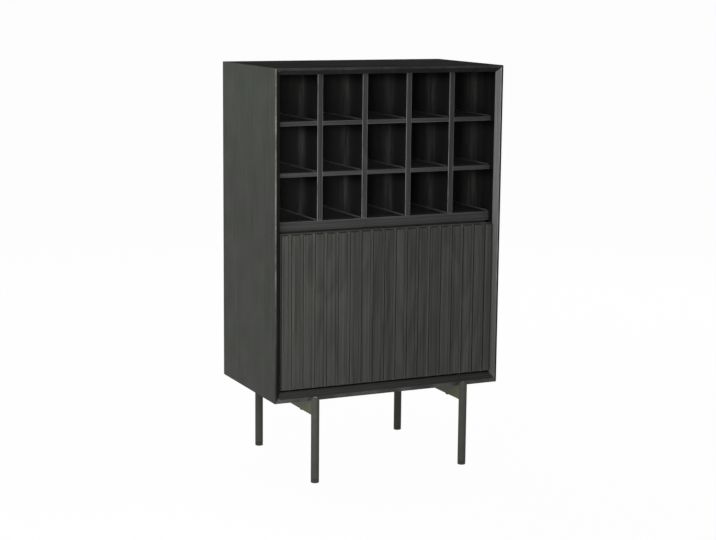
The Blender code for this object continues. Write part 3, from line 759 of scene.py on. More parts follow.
# Its near-white edge colour is a painted highlight in the middle of each leg's top.
LEG_STEEL = CoatedSurface(
    "coated_leg_steel",
    Slot.BLACK_STEEL,
    base=(0.068, 0.0695, 0.0603),
    patched=(0.088, 0.0897, 0.0786),
    worn_and_highlit=(0.850, 0.850, 0.830),
    roughness=0.45,
    specular=0.02,
    wear_and_highlight=0.9,
)
BLACK_STEEL = CoatedSurface(
    "coated_flat_steel",
    Slot.BLACK_STEEL,
    base=(0.072, 0.0740, 0.0400),
    patched=(0.098, 0.1005, 0.0570),
    worn_and_highlit=(0.150, 0.150, 0.110),
    roughness=0.42,
    specular=0.12,
)
BLACK_PLASTIC = CoatedSurface(
    "moulded_black_plastic",
    Slot.BLACK_PLASTIC,
    base=(0.042, 0.0425, 0.0385),
    patched=(0.058, 0.0585, 0.0530),
    worn_and_highlit=(0.060, 0.060, 0.056),
    roughness=0.48,
    specular=0.2,
    cells=2400.0,
)
BRIGHT_STEEL = PlatedSteel()


def placed(name: str, data: ID) -> Object:
    """Make an object that holds some data and link it to the scene.

    Args:
        name: the object's name.
        data: its mesh, lamp or camera.

    Returns:
        The object.
    """
    made = bpy.data.objects.new(name, data)
    bpy.context.scene.collection.objects.link(made)
    return made


def spread(low: float, high: float, count: int) -> list[float]:
    """Return evenly spaced values from one end to the other."""
    return [low + (high - low) * step / (count - 1) for step in range(count)]


def start_of(node: str, facing: Facing) -> Vector:
    """Find where a turned piece starts: the middle of the end of its box that it points away from.

    Args:
        node: the piece's node.
        facing: where the piece points.

    Returns:
        The place.
    """
    place = []
    for low, high, way in zip(*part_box(node), facing.value.to_3x3().col[2]):
        ends = (low, high) if way > 0 else (high, low)
        place.append((low + high) / 2 if abs(way) < SLANTED_SHARE else ends[0])
    return Vector(place)


class Workpiece:
    """A mesh in the making that becomes one finished piece."""

    def __init__(self) -> None:
        """Start with an empty mesh that can mark its paler edges, partly from wearing and partly a painted
        highlight, and its faces with painted shade.
        """
        self.shape: BMesh = bmesh.new()
        self.edge, self.painted_shade = self.layer(EDGE_LAYER), self.layer(PAINTED_SHADE_LAYER)
        self.coats: list[Finish] = []

    def layer(self, name: str) -> BMLayerItem:
        """Return the layer of face numbers with a name, made if there is none."""
        layers = self.shape.faces.layers.float
        return layers.get(name) or layers.new(name)

    @classmethod
    def from_node(cls, node: str) -> "Workpiece":
        """Start from a merged copy of a CAD node.

        Args:
            node: the node's name.

        Returns:
            The workpiece, with its flat faces whole.
        """
        work = cls()
        work.shape.from_mesh(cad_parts[node].data)
        work.edge, work.painted_shade = work.layer(EDGE_LAYER), work.layer(PAINTED_SHADE_LAYER)
        bmesh.ops.remove_doubles(work.shape, verts=work.shape.verts, dist=MERGE_DISTANCE)
        verts, edges = work.shape.verts[:], work.shape.edges[:]
        bmesh.ops.dissolve_limit(work.shape, angle_limit=FLAT_ANGLE, verts=verts, edges=edges)
        work.shape.normal_update()
        return work

    @classmethod
    def block(cls, low: Sequence[float], high: Sequence[float]) -> "Workpiece":
        """Start from a block.

        Args:
            low: its lowest corner.
            high: its highest corner.

        Returns:
            The workpiece.
        """
        work, low, high = cls(), Vector(low), Vector(high)
        place = Matrix.Translation((low + high) / 2) @ Matrix.Diagonal((*(high - low), 1))
        bmesh.ops.create_cube(work.shape, size=1, matrix=place)
        return work

    @classmethod
    def turned(
        cls, profile: Profile, facing: Facing, place: Vector, steps: int = SMALL_ROUND_STEPS
    ) -> "Workpiece":
        """Start from a profile spun round its own axis.

        Args:
            profile: (radius, height) points, from one end on the axis to the other.
            facing: where the profile's own +Z points.
            place: where its zero height lies.
            steps: faces round the axis.

        Returns:
            The workpiece.
        """
        work = cls()
        points = [work.shape.verts.new((radius, 0, height)) for radius, height in profile]
        edges = [work.shape.edges.new(pair) for pair in zip(points, points[1:])]
        bmesh.ops.spin(
            work.shape,
            geom=points + edges,
            axis=(0, 0, 1),
            cent=(0, 0, 0),
            angle=math.tau,
            steps=steps,
            use_merge=True,
        )
        work.close(facing, place)
        return work

    def close(self, facing: Facing, place: Vector) -> None:
        """Merge doubles, turn the faces outwards and move the mesh to its place.

        Args:
            facing: where its own +Z points.
            place: where its own zero lies.
        """
        bmesh.ops.remove_doubles(self.shape, verts=self.shape.verts, dist=MERGE_DISTANCE)
        bmesh.ops.recalc_face_normals(self.shape, faces=self.shape.faces)
        self.shape.transform(Matrix.Translation(place) @ facing.value)

    def add(self, other: "Workpiece") -> None:
        """Take another workpiece's mesh into this one.

        Args:
            other: the other workpiece, which is used up.
        """
        mesh = bpy.data.meshes.new("part")
        other.shape.to_mesh(mesh)
        other.shape.free()
        self.shape.from_mesh(mesh)
        bpy.data.meshes.remove(mesh)

    def sharp_edges(self) -> list[BMEdge]:
        """Return the edges where faces meet at a marked angle."""
        closed = [edge for edge in self.shape.edges if edge.is_manifold]
        return [edge for edge in closed if edge.calc_face_angle() > SHARP_ANGLE]

    def upright_edges(self, rise: float) -> list[BMEdge]:
        """Return the edges whose ends differ in height by more than a length."""
        return [edge for edge in self.shape.edges if abs(edge.verts[0].co.z - edge.verts[1].co.z) > rise]

    def mark(self, layer: BMLayerItem, amount: float, chosen: Test) -> None:
        """Write an amount, from 0 to 1, in a layer on the faces that a test picks."""
        for face in filter(chosen, self.shape.faces):
            face[layer] = amount

    def paint_shade(self, amount: float, chosen: Test) -> None:
        """Mark the faces that a test picks with painted shade by an amount, and give them no paler edge."""
        self.mark(self.painted_shade, amount, chosen)
        self.mark(self.edge, 0.0, chosen)

    def split(self, chosen: Test, place: Vector, across: Vector) -> None:
        """Cut the faces that a test picks along a plane, so that both halves can be dressed apart.

        Args:
            chosen: the test.
            place: a point on the plane.
            across: the plane's normal.
        """
        faces = list(filter(chosen, self.shape.faces))
        rims = {edge for face in faces for edge in face.edges}
        corners = {vert for face in faces for vert in face.verts}
        bmesh.ops.bisect_plane(self.shape, geom=[*faces, *rims, *corners], plane_co=place, plane_no=across)

    def coat(self, finish: Finish, chosen: Test) -> None:
        """Give the faces that a test picks a finish of their own.

        Args:
            finish: the finish.
            chosen: the test.
        """
        self.coats.append(finish)
        for face in filter(chosen, self.shape.faces):
            face.material_index = len(self.coats)

    def soften(self, edges: Iterable[BMEdge], radius: float, segments: int = 3) -> None:
        """Round some edges and mark them for the paler edge colour, partly from wearing and partly a painted
        highlight.

        Args:
            edges: the edges to round.
            radius: how far the rounding reaches.
            segments: its steps.
        """
        result = bmesh.ops.bevel(
            self.shape,
            geom=list(edges),
            offset=radius,
            segments=segments,
            profile=0.5,
            affect="EDGES",
            clamp_overlap=True,
            material=-1,
        )
        for face in result["faces"]:
            face[self.edge] = 1.0

    def bore(self, radius: float, depth: float, axis: Vector) -> None:
        """Drill a round blind hole towards the rear into the foremost face.

        Args:
            radius: the hole's radius.
            depth: its depth.
            axis: a point on its axis.
        """
        front = min(self.shape.faces, key=lambda face: face.calc_center_median().y)
        border, y = list(front.edges), front.calc_center_median().y
        bmesh.ops.delete(self.shape, geom=[front], context="FACES_ONLY")
        place = Matrix.Translation((axis.x, y, axis.z)) @ Facing.REAR.value
        disc = bmesh.ops.create_circle(
            self.shape, cap_ends=True, segments=SMALL_ROUND_STEPS, radius=radius, matrix=place
        )["verts"]
        rim = list({edge for vert in disc for edge in vert.link_edges})
        cap = disc[0].link_faces[0]
        end = bmesh.ops.extrude_discrete_faces(self.shape, faces=[cap])["faces"][0]
        bmesh.ops.translate(self.shape, verts=end.verts, vec=(0, depth, 0))
        bmesh.ops.triangle_fill(self.shape, edges=border + rim, use_beauty=True)
        bmesh.ops.recalc_face_normals(self.shape, faces=self.shape.faces)

    def finish(self, name: str, finish: Finish, body: Body, stands_for: Sequence[str] = ()) -> None:
        """Make the object, dress it and fix it to its body.

        Args:
            name: the object's name.
            finish: its finish.
            body: the body that it rides on.
            stands_for: the CAD nodes that it replaces.
        """
        mesh = bpy.data.meshes.new(name)
        self.shape.to_mesh(mesh)
        self.shape.free()
        mesh.shade_smooth()
        mesh.set_sharp_from_angle(angle=SHARP_ANGLE)
        piece = placed(name, mesh)
        for coat in (finish, *self.coats):
            mesh.materials.append(material_of(coat))
        piece.modifiers.new("even_normals", "WEIGHTED_NORMAL").keep_sharp = True
        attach(piece, body.value)
        if stands_for:
            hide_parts(*stands_for)
        log.info("%s: %d faces, on %s", name, len(mesh.polygons), body.value)


def softened(node: str, word: str, finish: Finish, body: Body, radius: float) -> None:
    """Make a piece that is its solid with softened edges.

    Args:
        node: the solid's node.
        word: what the piece's name adds to the node's.
        finish: its finish.
        body: the body that it rides on.
        radius: how far the rounding reaches.
    """
    work = Workpiece.from_node(node)
    work.soften(work.sharp_edges(), radius, 2)
    work.finish(f"{node}_{word}", finish, body, [node])


def recess_radius(drive: Drive, size: float, angle: float) -> float:
    """Find how far a screw's recess reaches in one direction.

    Args:
        drive: the kind of recess.
        size: half its width across the flats, or the length of a cross's arm.
        angle: the direction.

    Returns:
        The distance from the axis to the recess's wall.
    """
    if drive is Drive.HEX:
        sector = math.radians(60)
        return size / math.cos(angle % sector - sector / 2)
    quarter = angle % math.radians(90)
    aside = min(quarter, math.radians(90) - quarter)
    arm_half_width_share = 0.26
    along_arm = size / math.cos(aside)
    if aside < math.radians(1):
        return along_arm
    return min(along_arm, arm_half_width_share * size / math.sin(aside))


@dataclass(frozen=True)
class ScrewHead:
    """A low domed head with a recess, its flat underside at height zero."""

    radius: float
    height: float
    drive: Drive
    recess: float
    depth: float
    steps: int = 24
    rim_share: float = 0.35
    land_share: float = 1.25
    dome_steps: int = 4

    def make(self, facing: Facing, place: Vector) -> Workpiece:
        """Make the head.

        Args:
            facing: where its top points.
            place: the middle of its underside.

        Returns:
            The head as a workpiece.
        """
        work, inner = Workpiece(), self.recess * self.land_share
        bmesh.ops.create_circle(work.shape, cap_ends=True, segments=self.steps, radius=self.radius)
        face = next(iter(work.shape.faces))
        bmesh.ops.duplicate(work.shape, geom=[face, *face.edges, *face.verts])
        last = self.radius
        for share in spread(0, 1, self.dome_steps + 1):
            radius = self.radius + (inner - self.radius) * share
            rise = self.rim_share + (1 - self.rim_share) * math.sin(share * math.pi / 2)
            face, last = self.raise_face(work, face, self.height * rise, radius / last), radius
        for vert in face.verts:
            angle = math.atan2(vert.co.y, vert.co.x)
            reach = recess_radius(self.drive, self.recess, angle)
            vert.co.x, vert.co.y = reach * math.cos(angle), reach * math.sin(angle)
        self.raise_face(work, face, self.height - self.depth, 1.0)
        work.close(facing, place)
        return work

    def raise_face(self, work: Workpiece, face: BMFace, height: float, share: float) -> BMFace:
        """Extrude a level face to a height and scale it about the axis.

        Args:
            work: the workpiece.
            face: the face to extrude.
            height: where it goes.
            share: how its size changes.

        Returns:
            The face in its new place.
        """
        made = bmesh.ops.extrude_discrete_faces(work.shape, faces=[face])["faces"][0]
        for vert in made.verts:
            vert.co = Vector((vert.co.x * share, vert.co.y * share, height))
        return made


WOOD_SCREW = ScrewHead(radius=0.0032, height=0.0008, drive=Drive.CROSS, recess=0.0016, depth=0.0006)
RAIL_SCREW = ScrewHead(radius=0.0050, height=0.0036, drive=Drive.HEX, recess=0.0020, depth=0.0022)


def wood_screws(name: str, places: Iterable[Sequence[float]], facing: Facing, body: Body) -> None:
    """Make a set of small screws as one piece.

    Args:
        name: the piece's name.
        places: where the undersides of their heads lie.
        facing: where their heads point.
        body: the body that they ride on.
    """
    work = Workpiece()
    for place in places:
        work.add(WOOD_SCREW.make(facing, Vector(place)))
    work.finish(name, BRIGHT_STEEL, body)


@dataclass
class Case:
    """Mitred boards, the back panel and the shelf over the flap."""

    edge_radius: float = 0.0016
    lip_depth: float = 0.0110
    left_lip_cut: float = 0.2963
    right_lip_cut: float = 0.2956
    outer_arris_share: float = 0.2
    # How pale the level boards' lips are, partly from wearing and partly a painted highlight.
    top_lip_wear_and_highlight: float = 0.55
    bottom_lip_wear_and_highlight: float = 0.75
    # Painted shade on the case's inner faces.
    inner_painted_shade: float = 0.7
    shortest_edge: float = 0.0030
    panel_edge_radius: float = 0.0004
    screw_inset: float = 0.0042
    strip_gap: float = 0.0008
    seat_gap: float = 0.0003
    strip_end: float = 0.0060
    strip_height: float = 0.0042
    strip_depth: float = 0.0050
    screws_up: int = 6
    screws_across: int = 4
    screw_seat: float = 0.0001

    def on_lip(self, face: BMFace) -> bool:
        """Tell whether a face lies wholly in the plane of the case's front lips."""
        return all(vert.co.y < LIP_FRONT + MERGE_DISTANCE for vert in face.verts)

    def lip_strip(self, low: float, high: float) -> Test:
        """Return a test for the faces of the front lips between two places across."""
        return lambda face: self.on_lip(face) and low < face.calc_center_median().x < high

    def side(self, word: str) -> None:
        """Make one side board. Its lip is pale on one strip, partly from wearing and partly a painted
        highlight, and dark with painted shade on the other.

        Args:
            word: left or right.
        """
        node, left = f"side_{word}", word == "left"
        cut, inward = (-self.left_lip_cut, 1) if left else (self.right_lip_cut, -1)
        worn_and_highlit_strip, painted_shade_strip = self.lip_strip(-math.inf, cut), self.lip_strip(cut, math.inf)
        work = Workpiece.from_node(node)
        work.split(self.on_lip, Vector((cut, 0, 0)), Vector((1, 0, 0)))
        work.mark(work.edge, 1.0, worn_and_highlit_strip)
        # Painted shade on the board's inner face.
        work.mark(work.painted_shade, self.inner_painted_shade, lambda face: face.normal.x * inward > FACING_SHARE)
        # The left board's bevel and inner lip strip take the matt inner wood; the right board's bevel and pale
        # lip strip take the pale copy as painted light, and its outer lip strip painted shade.
        if left:
            work.coat(INNER_WOOD, lambda face: face.normal.x > SLANTED_SHARE or painted_shade_strip(face))
        else:
            work.mark(work.painted_shade, 1.0, painted_shade_strip)
            work.coat(INNER_WOOD, lambda face: face.normal.x < -FACING_SHARE)
            work.coat(
                PAINTED_LIGHT_BEVEL_WOOD,
                lambda face: -FACING_SHARE < face.normal.x < -SLANTED_SHARE or worn_and_highlit_strip(face),
            )
        work.soften(self.board_edges(work), self.edge_radius)
        work.shape.normal_update()
        # The right board's outer arris gets painted shade and no paler edge.
        if not left:
            arris = self.outer_arris_share
            work.mark(work.edge, 0.0, lambda face: face.normal.x > arris)
            work.mark(work.painted_shade, 1.0, lambda face: arris < face.normal.x < FACING_SHARE)
        work.finish(f"{node}_board", SIDE_WOOD, Body.CABINET, [node])

    def board_edges(self, work: Workpiece) -> list[BMEdge]:
        """Pick a board's own edges and leave the rims of its small holes sharp.

        Args:
            work: the board.

        Returns:
            The edges.
        """
        lip = LIP_FRONT + self.lip_depth
        return [
            edge
            for edge in work.sharp_edges()
            if edge.calc_length() > self.shortest_edge or all(vert.co.y < lip for vert in edge.verts)
        ]

    def board(
        self,
        node: str,
        finish: StainedWood,
        wear_and_highlight: float = 0.0,
        inner: Test | None = None,
        painted_shade: Test | None = None,
    ) -> None:
        """Make one level board of the case.

        Args:
            node: the board's node.
            finish: its finish.
            wear_and_highlight: how pale its front lip is, partly from wearing and partly a painted highlight.
            inner: picks the faces with the finish of the case's inside, if it has any.
            painted_shade: picks the faces that get painted shade, if it has any.
        """
        work = Workpiece.from_node(node)
        work.mark(work.edge, wear_and_highlight, self.on_lip)
        if painted_shade:
            work.mark(work.painted_shade, self.inner_painted_shade, painted_shade)
        if inner:
            work.coat(INNER_WOOD, inner)
        work.soften(self.board_edges(work), self.edge_radius)
        work.finish(f"{node}_board", finish, Body.CABINET, [node])

    def back_screws(self) -> None:
        """Make the small screws that hold the back panel in its rebate."""
        low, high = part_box("back_panel")
        inset, rear = Vector((self.screw_inset, 0, self.screw_inset)), high.y + self.screw_seat
        low, high = low + inset, high - inset
        places = [(x, rear, z) for z in spread(low.z, high.z, self.screws_up) for x in (low.x, high.x)]
        across = spread(low.x, high.x, self.screws_across)[1:-1]
        places += [(x, rear, z) for x in across for z in (low.z, high.z)]
        wood_screws("back_panel_screws", places, Facing.REAR, Body.CABINET)

    def stop_strip(self) -> None:
        """Make the thin strip under the shelf that the flap shuts against, over the latch's plunger."""
        panel_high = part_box("flap_panel")[1]
        front, under = panel_high.y + self.strip_gap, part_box("mid_shelf")[0].z - self.seat_gap
        reach = panel_high.x - self.strip_end
        work = Workpiece.block(
            (-reach, front, under - self.strip_height), (reach, front + self.strip_depth, under)
        )
        work.soften(work.sharp_edges(), self.panel_edge_radius, 2)
        work.finish("flap_stop_strip", STRIP_WOOD, Body.CABINET)

    def build(self) -> None:
        """Build and dress the case."""
        for word in SIDES:
            self.side(word)
        # The top's underside and the mid shelf's level faces get painted shade.
        self.board(
            "top_panel",
            TOP_WOOD,
            self.top_lip_wear_and_highlight,
            inner=lambda face: face.normal.z < -SLANTED_SHARE,
            painted_shade=lambda face: face.normal.z < -SLANTED_SHARE and abs(face.normal.y) < SLANTED_SHARE,
        )
        self.board("bottom_panel", BOTTOM_WOOD, self.bottom_lip_wear_and_highlight)
        self.board(
            "mid_shelf",
            SHELF_WOOD,
            inner=lambda face: face.normal.z < -FACING_SHARE,
            painted_shade=lambda face: abs(face.normal.z) > FACING_SHARE,
        )
        softened("back_panel", "sheet", BACK_WOOD, Body.CABINET, self.panel_edge_radius)
        self.back_screws()
        self.stop_strip()


@dataclass
class Rack:
    """Shelves and dividers that are half-lapped where they cross, with glued corner beads whose pale tone is a
    painted highlight along each joint.
    """

    edge_radius: float = 0.0008
    painted_shade_amount: float = 0.92
    floor_painted_shade: float = 0.62
    bead_size: float = 0.0030
    bead_round: float = 0.0024
    bead_gap: float = 0.0001
    bead_inset: float = 0.0080
    bead_segments: int = 4
    shelves: tuple[str, ...] = ("rack_shelf_1", "rack_shelf_2")
    dividers: tuple[str, ...] = ("rack_divider_1", "rack_divider_2", "rack_divider_3", "rack_divider_4")

    def walls(self) -> list[tuple[float, int]]:
        """Find the walls of all cells, from left to right.

        Returns:
            Each wall's place across, with 1 at a cell's left and -1 at its right.
        """
        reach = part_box("mid_shelf")[1].x
        edges = [-reach, *(end.x for node in self.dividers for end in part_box(node)), reach]
        return [(x, -1 if number % 2 else 1) for number, x in enumerate(edges)]

    def beads(self, number: int, floor: str) -> None:
        """Make the quarter-round beads in the bottom corners of one row of cells, whose pale tone is a painted
        highlight.

        Args:
            number: the row, counted as the shelves are.
            floor: the node that the row stands on.
        """
        low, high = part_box(self.dividers[0])
        front, rear = low.y + self.bead_inset, high.y - self.bead_inset
        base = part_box(floor)[1].z + self.bead_gap
        row = Workpiece()
        for wall, side in self.walls():
            far = wall + side * self.bead_size
            left, right = sorted((wall + side * self.bead_gap, far))
            bead = Workpiece.block((left, front, base), (right, rear, base + self.bead_size))
            rounded = [
                edge
                for edge in bead.shape.edges
                if all(abs(vert.co.x - far) < MERGE_DISTANCE for vert in edge.verts)
                and all(vert.co.z > base + self.bead_size / 2 for vert in edge.verts)
            ]
            bead.soften(rounded, self.bead_round, self.bead_segments)
            row.add(bead)
        row.finish(f"rack_corner_beads_{number}", BEAD_HIGHLIGHT_WOOD, Body.CABINET)

    def build(self) -> None:
        """Build and dress the rack."""
        for node in self.shelves + self.dividers:
            work = Workpiece.from_node(node)
            # Painted shade on the faces inside the cells, less on the floors.
            work.mark(work.painted_shade, self.painted_shade_amount, lambda face: abs(face.normal.y) < SLANTED_SHARE)
            work.mark(work.painted_shade, self.floor_painted_shade, lambda face: face.normal.z > SLANTED_SHARE)
            work.soften(work.sharp_edges(), self.edge_radius, 2)
            finish = SHELF_WOOD if node in self.shelves else DIVIDER_WOOD
            work.finish(f"{node}_board", finish, Body.CABINET, [node])
        for number, floor in enumerate(("mid_shelf", *self.shelves), start=1):
            self.beads(number, floor)


@dataclass
class Flap:
    """The drop flap: panel, slats, pivot pins, quadrant stays and the latch's strike."""

    panel_edge_radius: float = 0.0009
    long_edge: float = 0.0090
    slat_count: int = 19
    slat_edge_radius: float = 0.0010
    slat_cuts: int = 24
    slat_waviness: float = 0.00007
    slat_painted_shade: float = 0.9
    painted_light_slats: int = 2
    painted_light_gain: float = 1.26
    margin_painted_shade: float = 0.7
    arris_share: float = 0.2
    upper_arris_share: float = 0.25
    wave_cells: float = 18.0
    stay_edge_radius: float = 0.0003
    foot_screw_from_end: float = 0.0085
    foot_screw_share: float = 0.34
    foot_edge_reach: float = 0.0001
    pin_chamfer: float = 0.0006
    strike_rim: float = 0.0004

    def slat_wood(self, name: str, gain: float) -> StainedWood:
        """Design the slats' finish, whose staves are the slats themselves.

        Args:
            name: the finish's name.
            gain: how much paler it is than the usual slat wood; a gain above one is painted light.

        Returns:
            The finish.
        """
        first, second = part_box("flap_slat_01")[1].x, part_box("flap_slat_02")
        return StainedWood(
            name,
            Slot.FLAP_WOOD,
            Grain.UPRIGHT_FRONT,
            dark=(0.0215 * gain, 0.0222 * gain, 0.0199 * gain),
            pale=(0.0830 * gain, 0.0853 * gain, 0.0772 * gain),
            shade=(0.0075, 0.0076, 0.0070),
            stave_width=second[1].x - first,
            first_joint=first + (second[0].x - first) / 2,
            ring_spacing=0.0046,
            specular=0.11,
        )

    def slat(self, node: str, finish: StainedWood) -> None:
        """Make one slat: a hand-sanded strip with rounded front edges.

        Args:
            node: the slat's node.
            finish: its finish.
        """
        low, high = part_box(node)
        work = Workpiece.block(low, high)
        upright = work.upright_edges(MERGE_DISTANCE)
        bmesh.ops.subdivide_edges(work.shape, edges=upright, cuts=self.slat_cuts, use_grid_fill=True)
        for vert in work.shape.verts:
            if vert.co.y < low.y + MERGE_DISTANCE:
                vert.co.y += self.slat_waviness * (1 + noise.noise(vert.co * self.wave_cells))
        work.soften(work.sharp_edges(), self.slat_edge_radius)
        work.shape.normal_update()
        # Painted shade on the slats' left sides, right arrises and tops, and on the first slat's left arris;
        # the other left arrises keep a paler edge, partly a painted highlight.
        work.mark(work.painted_shade, self.slat_painted_shade, lambda face: face.normal.x < -FACING_SHARE)
        work.paint_shade(1.0, lambda face: face.normal.x > self.arris_share)
        work.paint_shade(self.slat_painted_shade, lambda face: face.normal.z > self.arris_share)
        if node == "flap_slat_01":
            work.paint_shade(self.slat_painted_shade, lambda face: face.normal.x < -self.arris_share)
        work.finish(f"{node}_strip", finish, Body.FLAP, [node])

    def panel(self) -> None:
        """Make the panel that the slats are glued on."""
        work, slat_top = Workpiece.from_node("flap_panel"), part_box("flap_slat_01")[1]
        work.split(lambda face: face.normal.y < -FACING_SHARE, slat_top, Vector((0, 0, 1)))
        # Painted shade on the panel's front strip above the slats.
        work.mark(
            work.painted_shade,
            self.margin_painted_shade,
            lambda face: face.normal.y < -FACING_SHARE and face.calc_center_median().z > slat_top.z,
        )
        edges = [edge for edge in work.sharp_edges() if edge.calc_length() > self.long_edge]
        work.soften(edges, self.panel_edge_radius)
        work.shape.normal_update()
        work.mark(work.edge, 0.0, lambda face: self.upper_arris_share < face.normal.z < FACING_SHARE)
        work.finish("flap_panel_board", PANEL_WOOD, Body.FLAP, ["flap_panel"])

    def pivot_pin(self, word: str) -> None:
        """Make a pivot pin with turned ends.

        Args:
            word: left or right.
        """
        node = f"flap_pivot_pin_{word}"
        low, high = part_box(node)
        radius, length, chamfer = (high.z - low.z) / 2, high.x - low.x, self.pin_chamfer
        profile = [(0, length), (radius - chamfer, length), (radius, length - chamfer)]
        profile += [(radius, chamfer), (radius - chamfer, 0), (0, 0)]
        work = Workpiece.turned(profile, Facing.RIGHT, start_of(node, Facing.RIGHT))
        work.finish(f"{node}_turned", BRIGHT_STEEL, Body.FLAP, [node])

    def stay(self, word: str) -> None:
        """Make a quadrant stay and the screws through its foot.

        Args:
            word: left or right.
        """
        node = f"flap_quadrant_{word}"
        softened(node, "plate", BLACK_STEEL, Body.FLAP, self.stay_edge_radius)
        front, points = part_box(node)[0].y, [vert.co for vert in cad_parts[node].data.vertices]
        foot = [point for point in points if abs(point.y - front) < MERGE_DISTANCE]
        inner, *_, outer = sorted((point.x for point in foot), key=abs)
        bottom, *_, top = sorted(point.z for point in foot)
        x = inner + (outer - inner) * self.foot_screw_share
        rear = max(point.y for point in points if abs(point.x - inner) < self.foot_edge_reach)
        heights = (bottom + self.foot_screw_from_end, top - self.foot_screw_from_end)
        wood_screws(f"{node}_screws", [(x, rear, z) for z in heights], Facing.REAR, Body.FLAP)

    def strike(self) -> None:
        """Make the latch's strike plate."""
        low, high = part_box("latch_strike")
        radius, thickness, rim = (high.x - low.x) / 2, high.y - low.y, self.strike_rim
        profile = [(0, thickness), (radius - rim, thickness), (radius, thickness - rim)]
        profile += [(radius, 0), (0, 0)]
        work = Workpiece.turned(profile, Facing.REAR, start_of("latch_strike", Facing.REAR), ROUND_STEPS)
        work.finish("latch_strike_plate", BRIGHT_STEEL, Body.FLAP, ["latch_strike"])

    def build(self) -> None:
        """Build and dress the flap."""
        self.panel()
        usual = self.slat_wood("slat_wood", 1.0)
        # The first slats take the paler copy: painted light.
        thin = self.slat_wood("painted_light_slat_wood", self.painted_light_gain)
        for number in range(1, self.slat_count + 1):
            self.slat(f"flap_slat_{number:02d}", thin if number <= self.painted_light_slats else usual)
        for word in SIDES:
            self.pivot_pin(word)
            self.stay(word)
        self.strike()


@dataclass
class Fittings:
    """What the case holds for the flap: bushes, stay pins and the push latch."""

    bore_clearance: float = 0.0003
    flange_chamfer: float = 0.0004
    flange: float = 0.0012
    shoulder: float = 0.0023
    pin_edge_radius: float = 0.0002
    head: float = 0.0020
    head_chamfer: float = 0.0005
    shaft_share: float = 0.64
    latch_rail: float = 0.0030
    latch_ear: float = 0.0150
    latch_neck_share: float = 0.74
    rail_edge_radius: float = 0.0012
    housing_edge_radius: float = 0.0024
    housing_segments: int = 4
    latch_bore_radius: float = 0.0038
    latch_bore: float = 0.0500

    def bush(self, word: str) -> None:
        """Make a flanged bush that a pivot pin turns in.

        Args:
            word: left or right.
        """
        node = f"flap_pivot_bush_{word}"
        low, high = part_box(node)
        pin_low, pin_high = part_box(f"flap_pivot_pin_{word}")
        bore = (pin_high.z - pin_low.z) / 2 + self.bore_clearance
        rim, length = (high.z - low.z) / 2, high.x - low.x
        sleeve, chamfer = bore + self.shoulder - self.bore_clearance, self.flange_chamfer
        profile = [(0, length), (sleeve - chamfer, length), (sleeve, length - chamfer)]
        profile += [(sleeve, self.flange), (rim, self.flange), (rim, chamfer), (rim - chamfer, 0)]
        profile += [(bore + chamfer, 0), (bore, chamfer)]
        profile += [(bore, length - self.flange), (0, length - self.flange)]
        facing = Facing.RIGHT if word == "right" else Facing.LEFT
        work = Workpiece.turned(profile, facing, start_of(node, facing))
        work.finish(f"{node}_moulded", BLACK_PLASTIC, Body.CABINET, [node])

    def latch(self) -> None:
        """Make the push latch's housing, with the plunger's bore, and its screw."""
        low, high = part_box("latch_body")
        middle = (low.x + high.x) / 2
        rail = Workpiece.block((low.x, low.y, high.z - self.latch_rail), high)
        rail.soften(rail.sharp_edges(), self.rail_edge_radius)
        neck = (high.x - low.x) / 2 * self.latch_neck_share
        rear, top = high.y - self.latch_ear, high.z - self.latch_rail / 2
        housing = Workpiece.block((middle - neck, low.y, low.z), (middle + neck, rear, top))
        housing.soften(housing.sharp_edges(), self.housing_edge_radius, self.housing_segments)
        housing.bore(self.latch_bore_radius, self.latch_bore, start_of("latch_plunger", Facing.REAR))
        rail.add(housing)
        rail.finish("latch_housing", BLACK_PLASTIC, Body.CABINET, ["latch_body"])
        place = (middle, high.y - self.latch_ear / 2, high.z - self.latch_rail)
        wood_screws("latch_screw", [place], Facing.DOWN, Body.CABINET)

    def plunger(self) -> None:
        """Make the latch's plunger: a shaft with a wide tip."""
        low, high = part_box("latch_plunger")
        tip, length, chamfer = (high.x - low.x) / 2, high.y - low.y, self.head_chamfer
        shaft, collar = tip * self.shaft_share, self.head + chamfer
        profile = [(0, length), (shaft, length), (shaft, collar), (tip - chamfer, collar)]
        profile += [(tip, self.head), (tip, chamfer), (tip - chamfer, 0), (0, 0)]
        work = Workpiece.turned(profile, Facing.REAR, start_of("latch_plunger", Facing.REAR))
        work.finish("latch_plunger_moulded", BLACK_PLASTIC, Body.PLUNGER, ["latch_plunger"])

    def build(self) -> None:
        """Build and dress the fittings."""
        for word in SIDES:
            self.bush(word)
            softened(f"quadrant_pin_{word}", "turned", BRIGHT_STEEL, Body.CABINET, self.pin_edge_radius)
        self.latch()
        self.plunger()


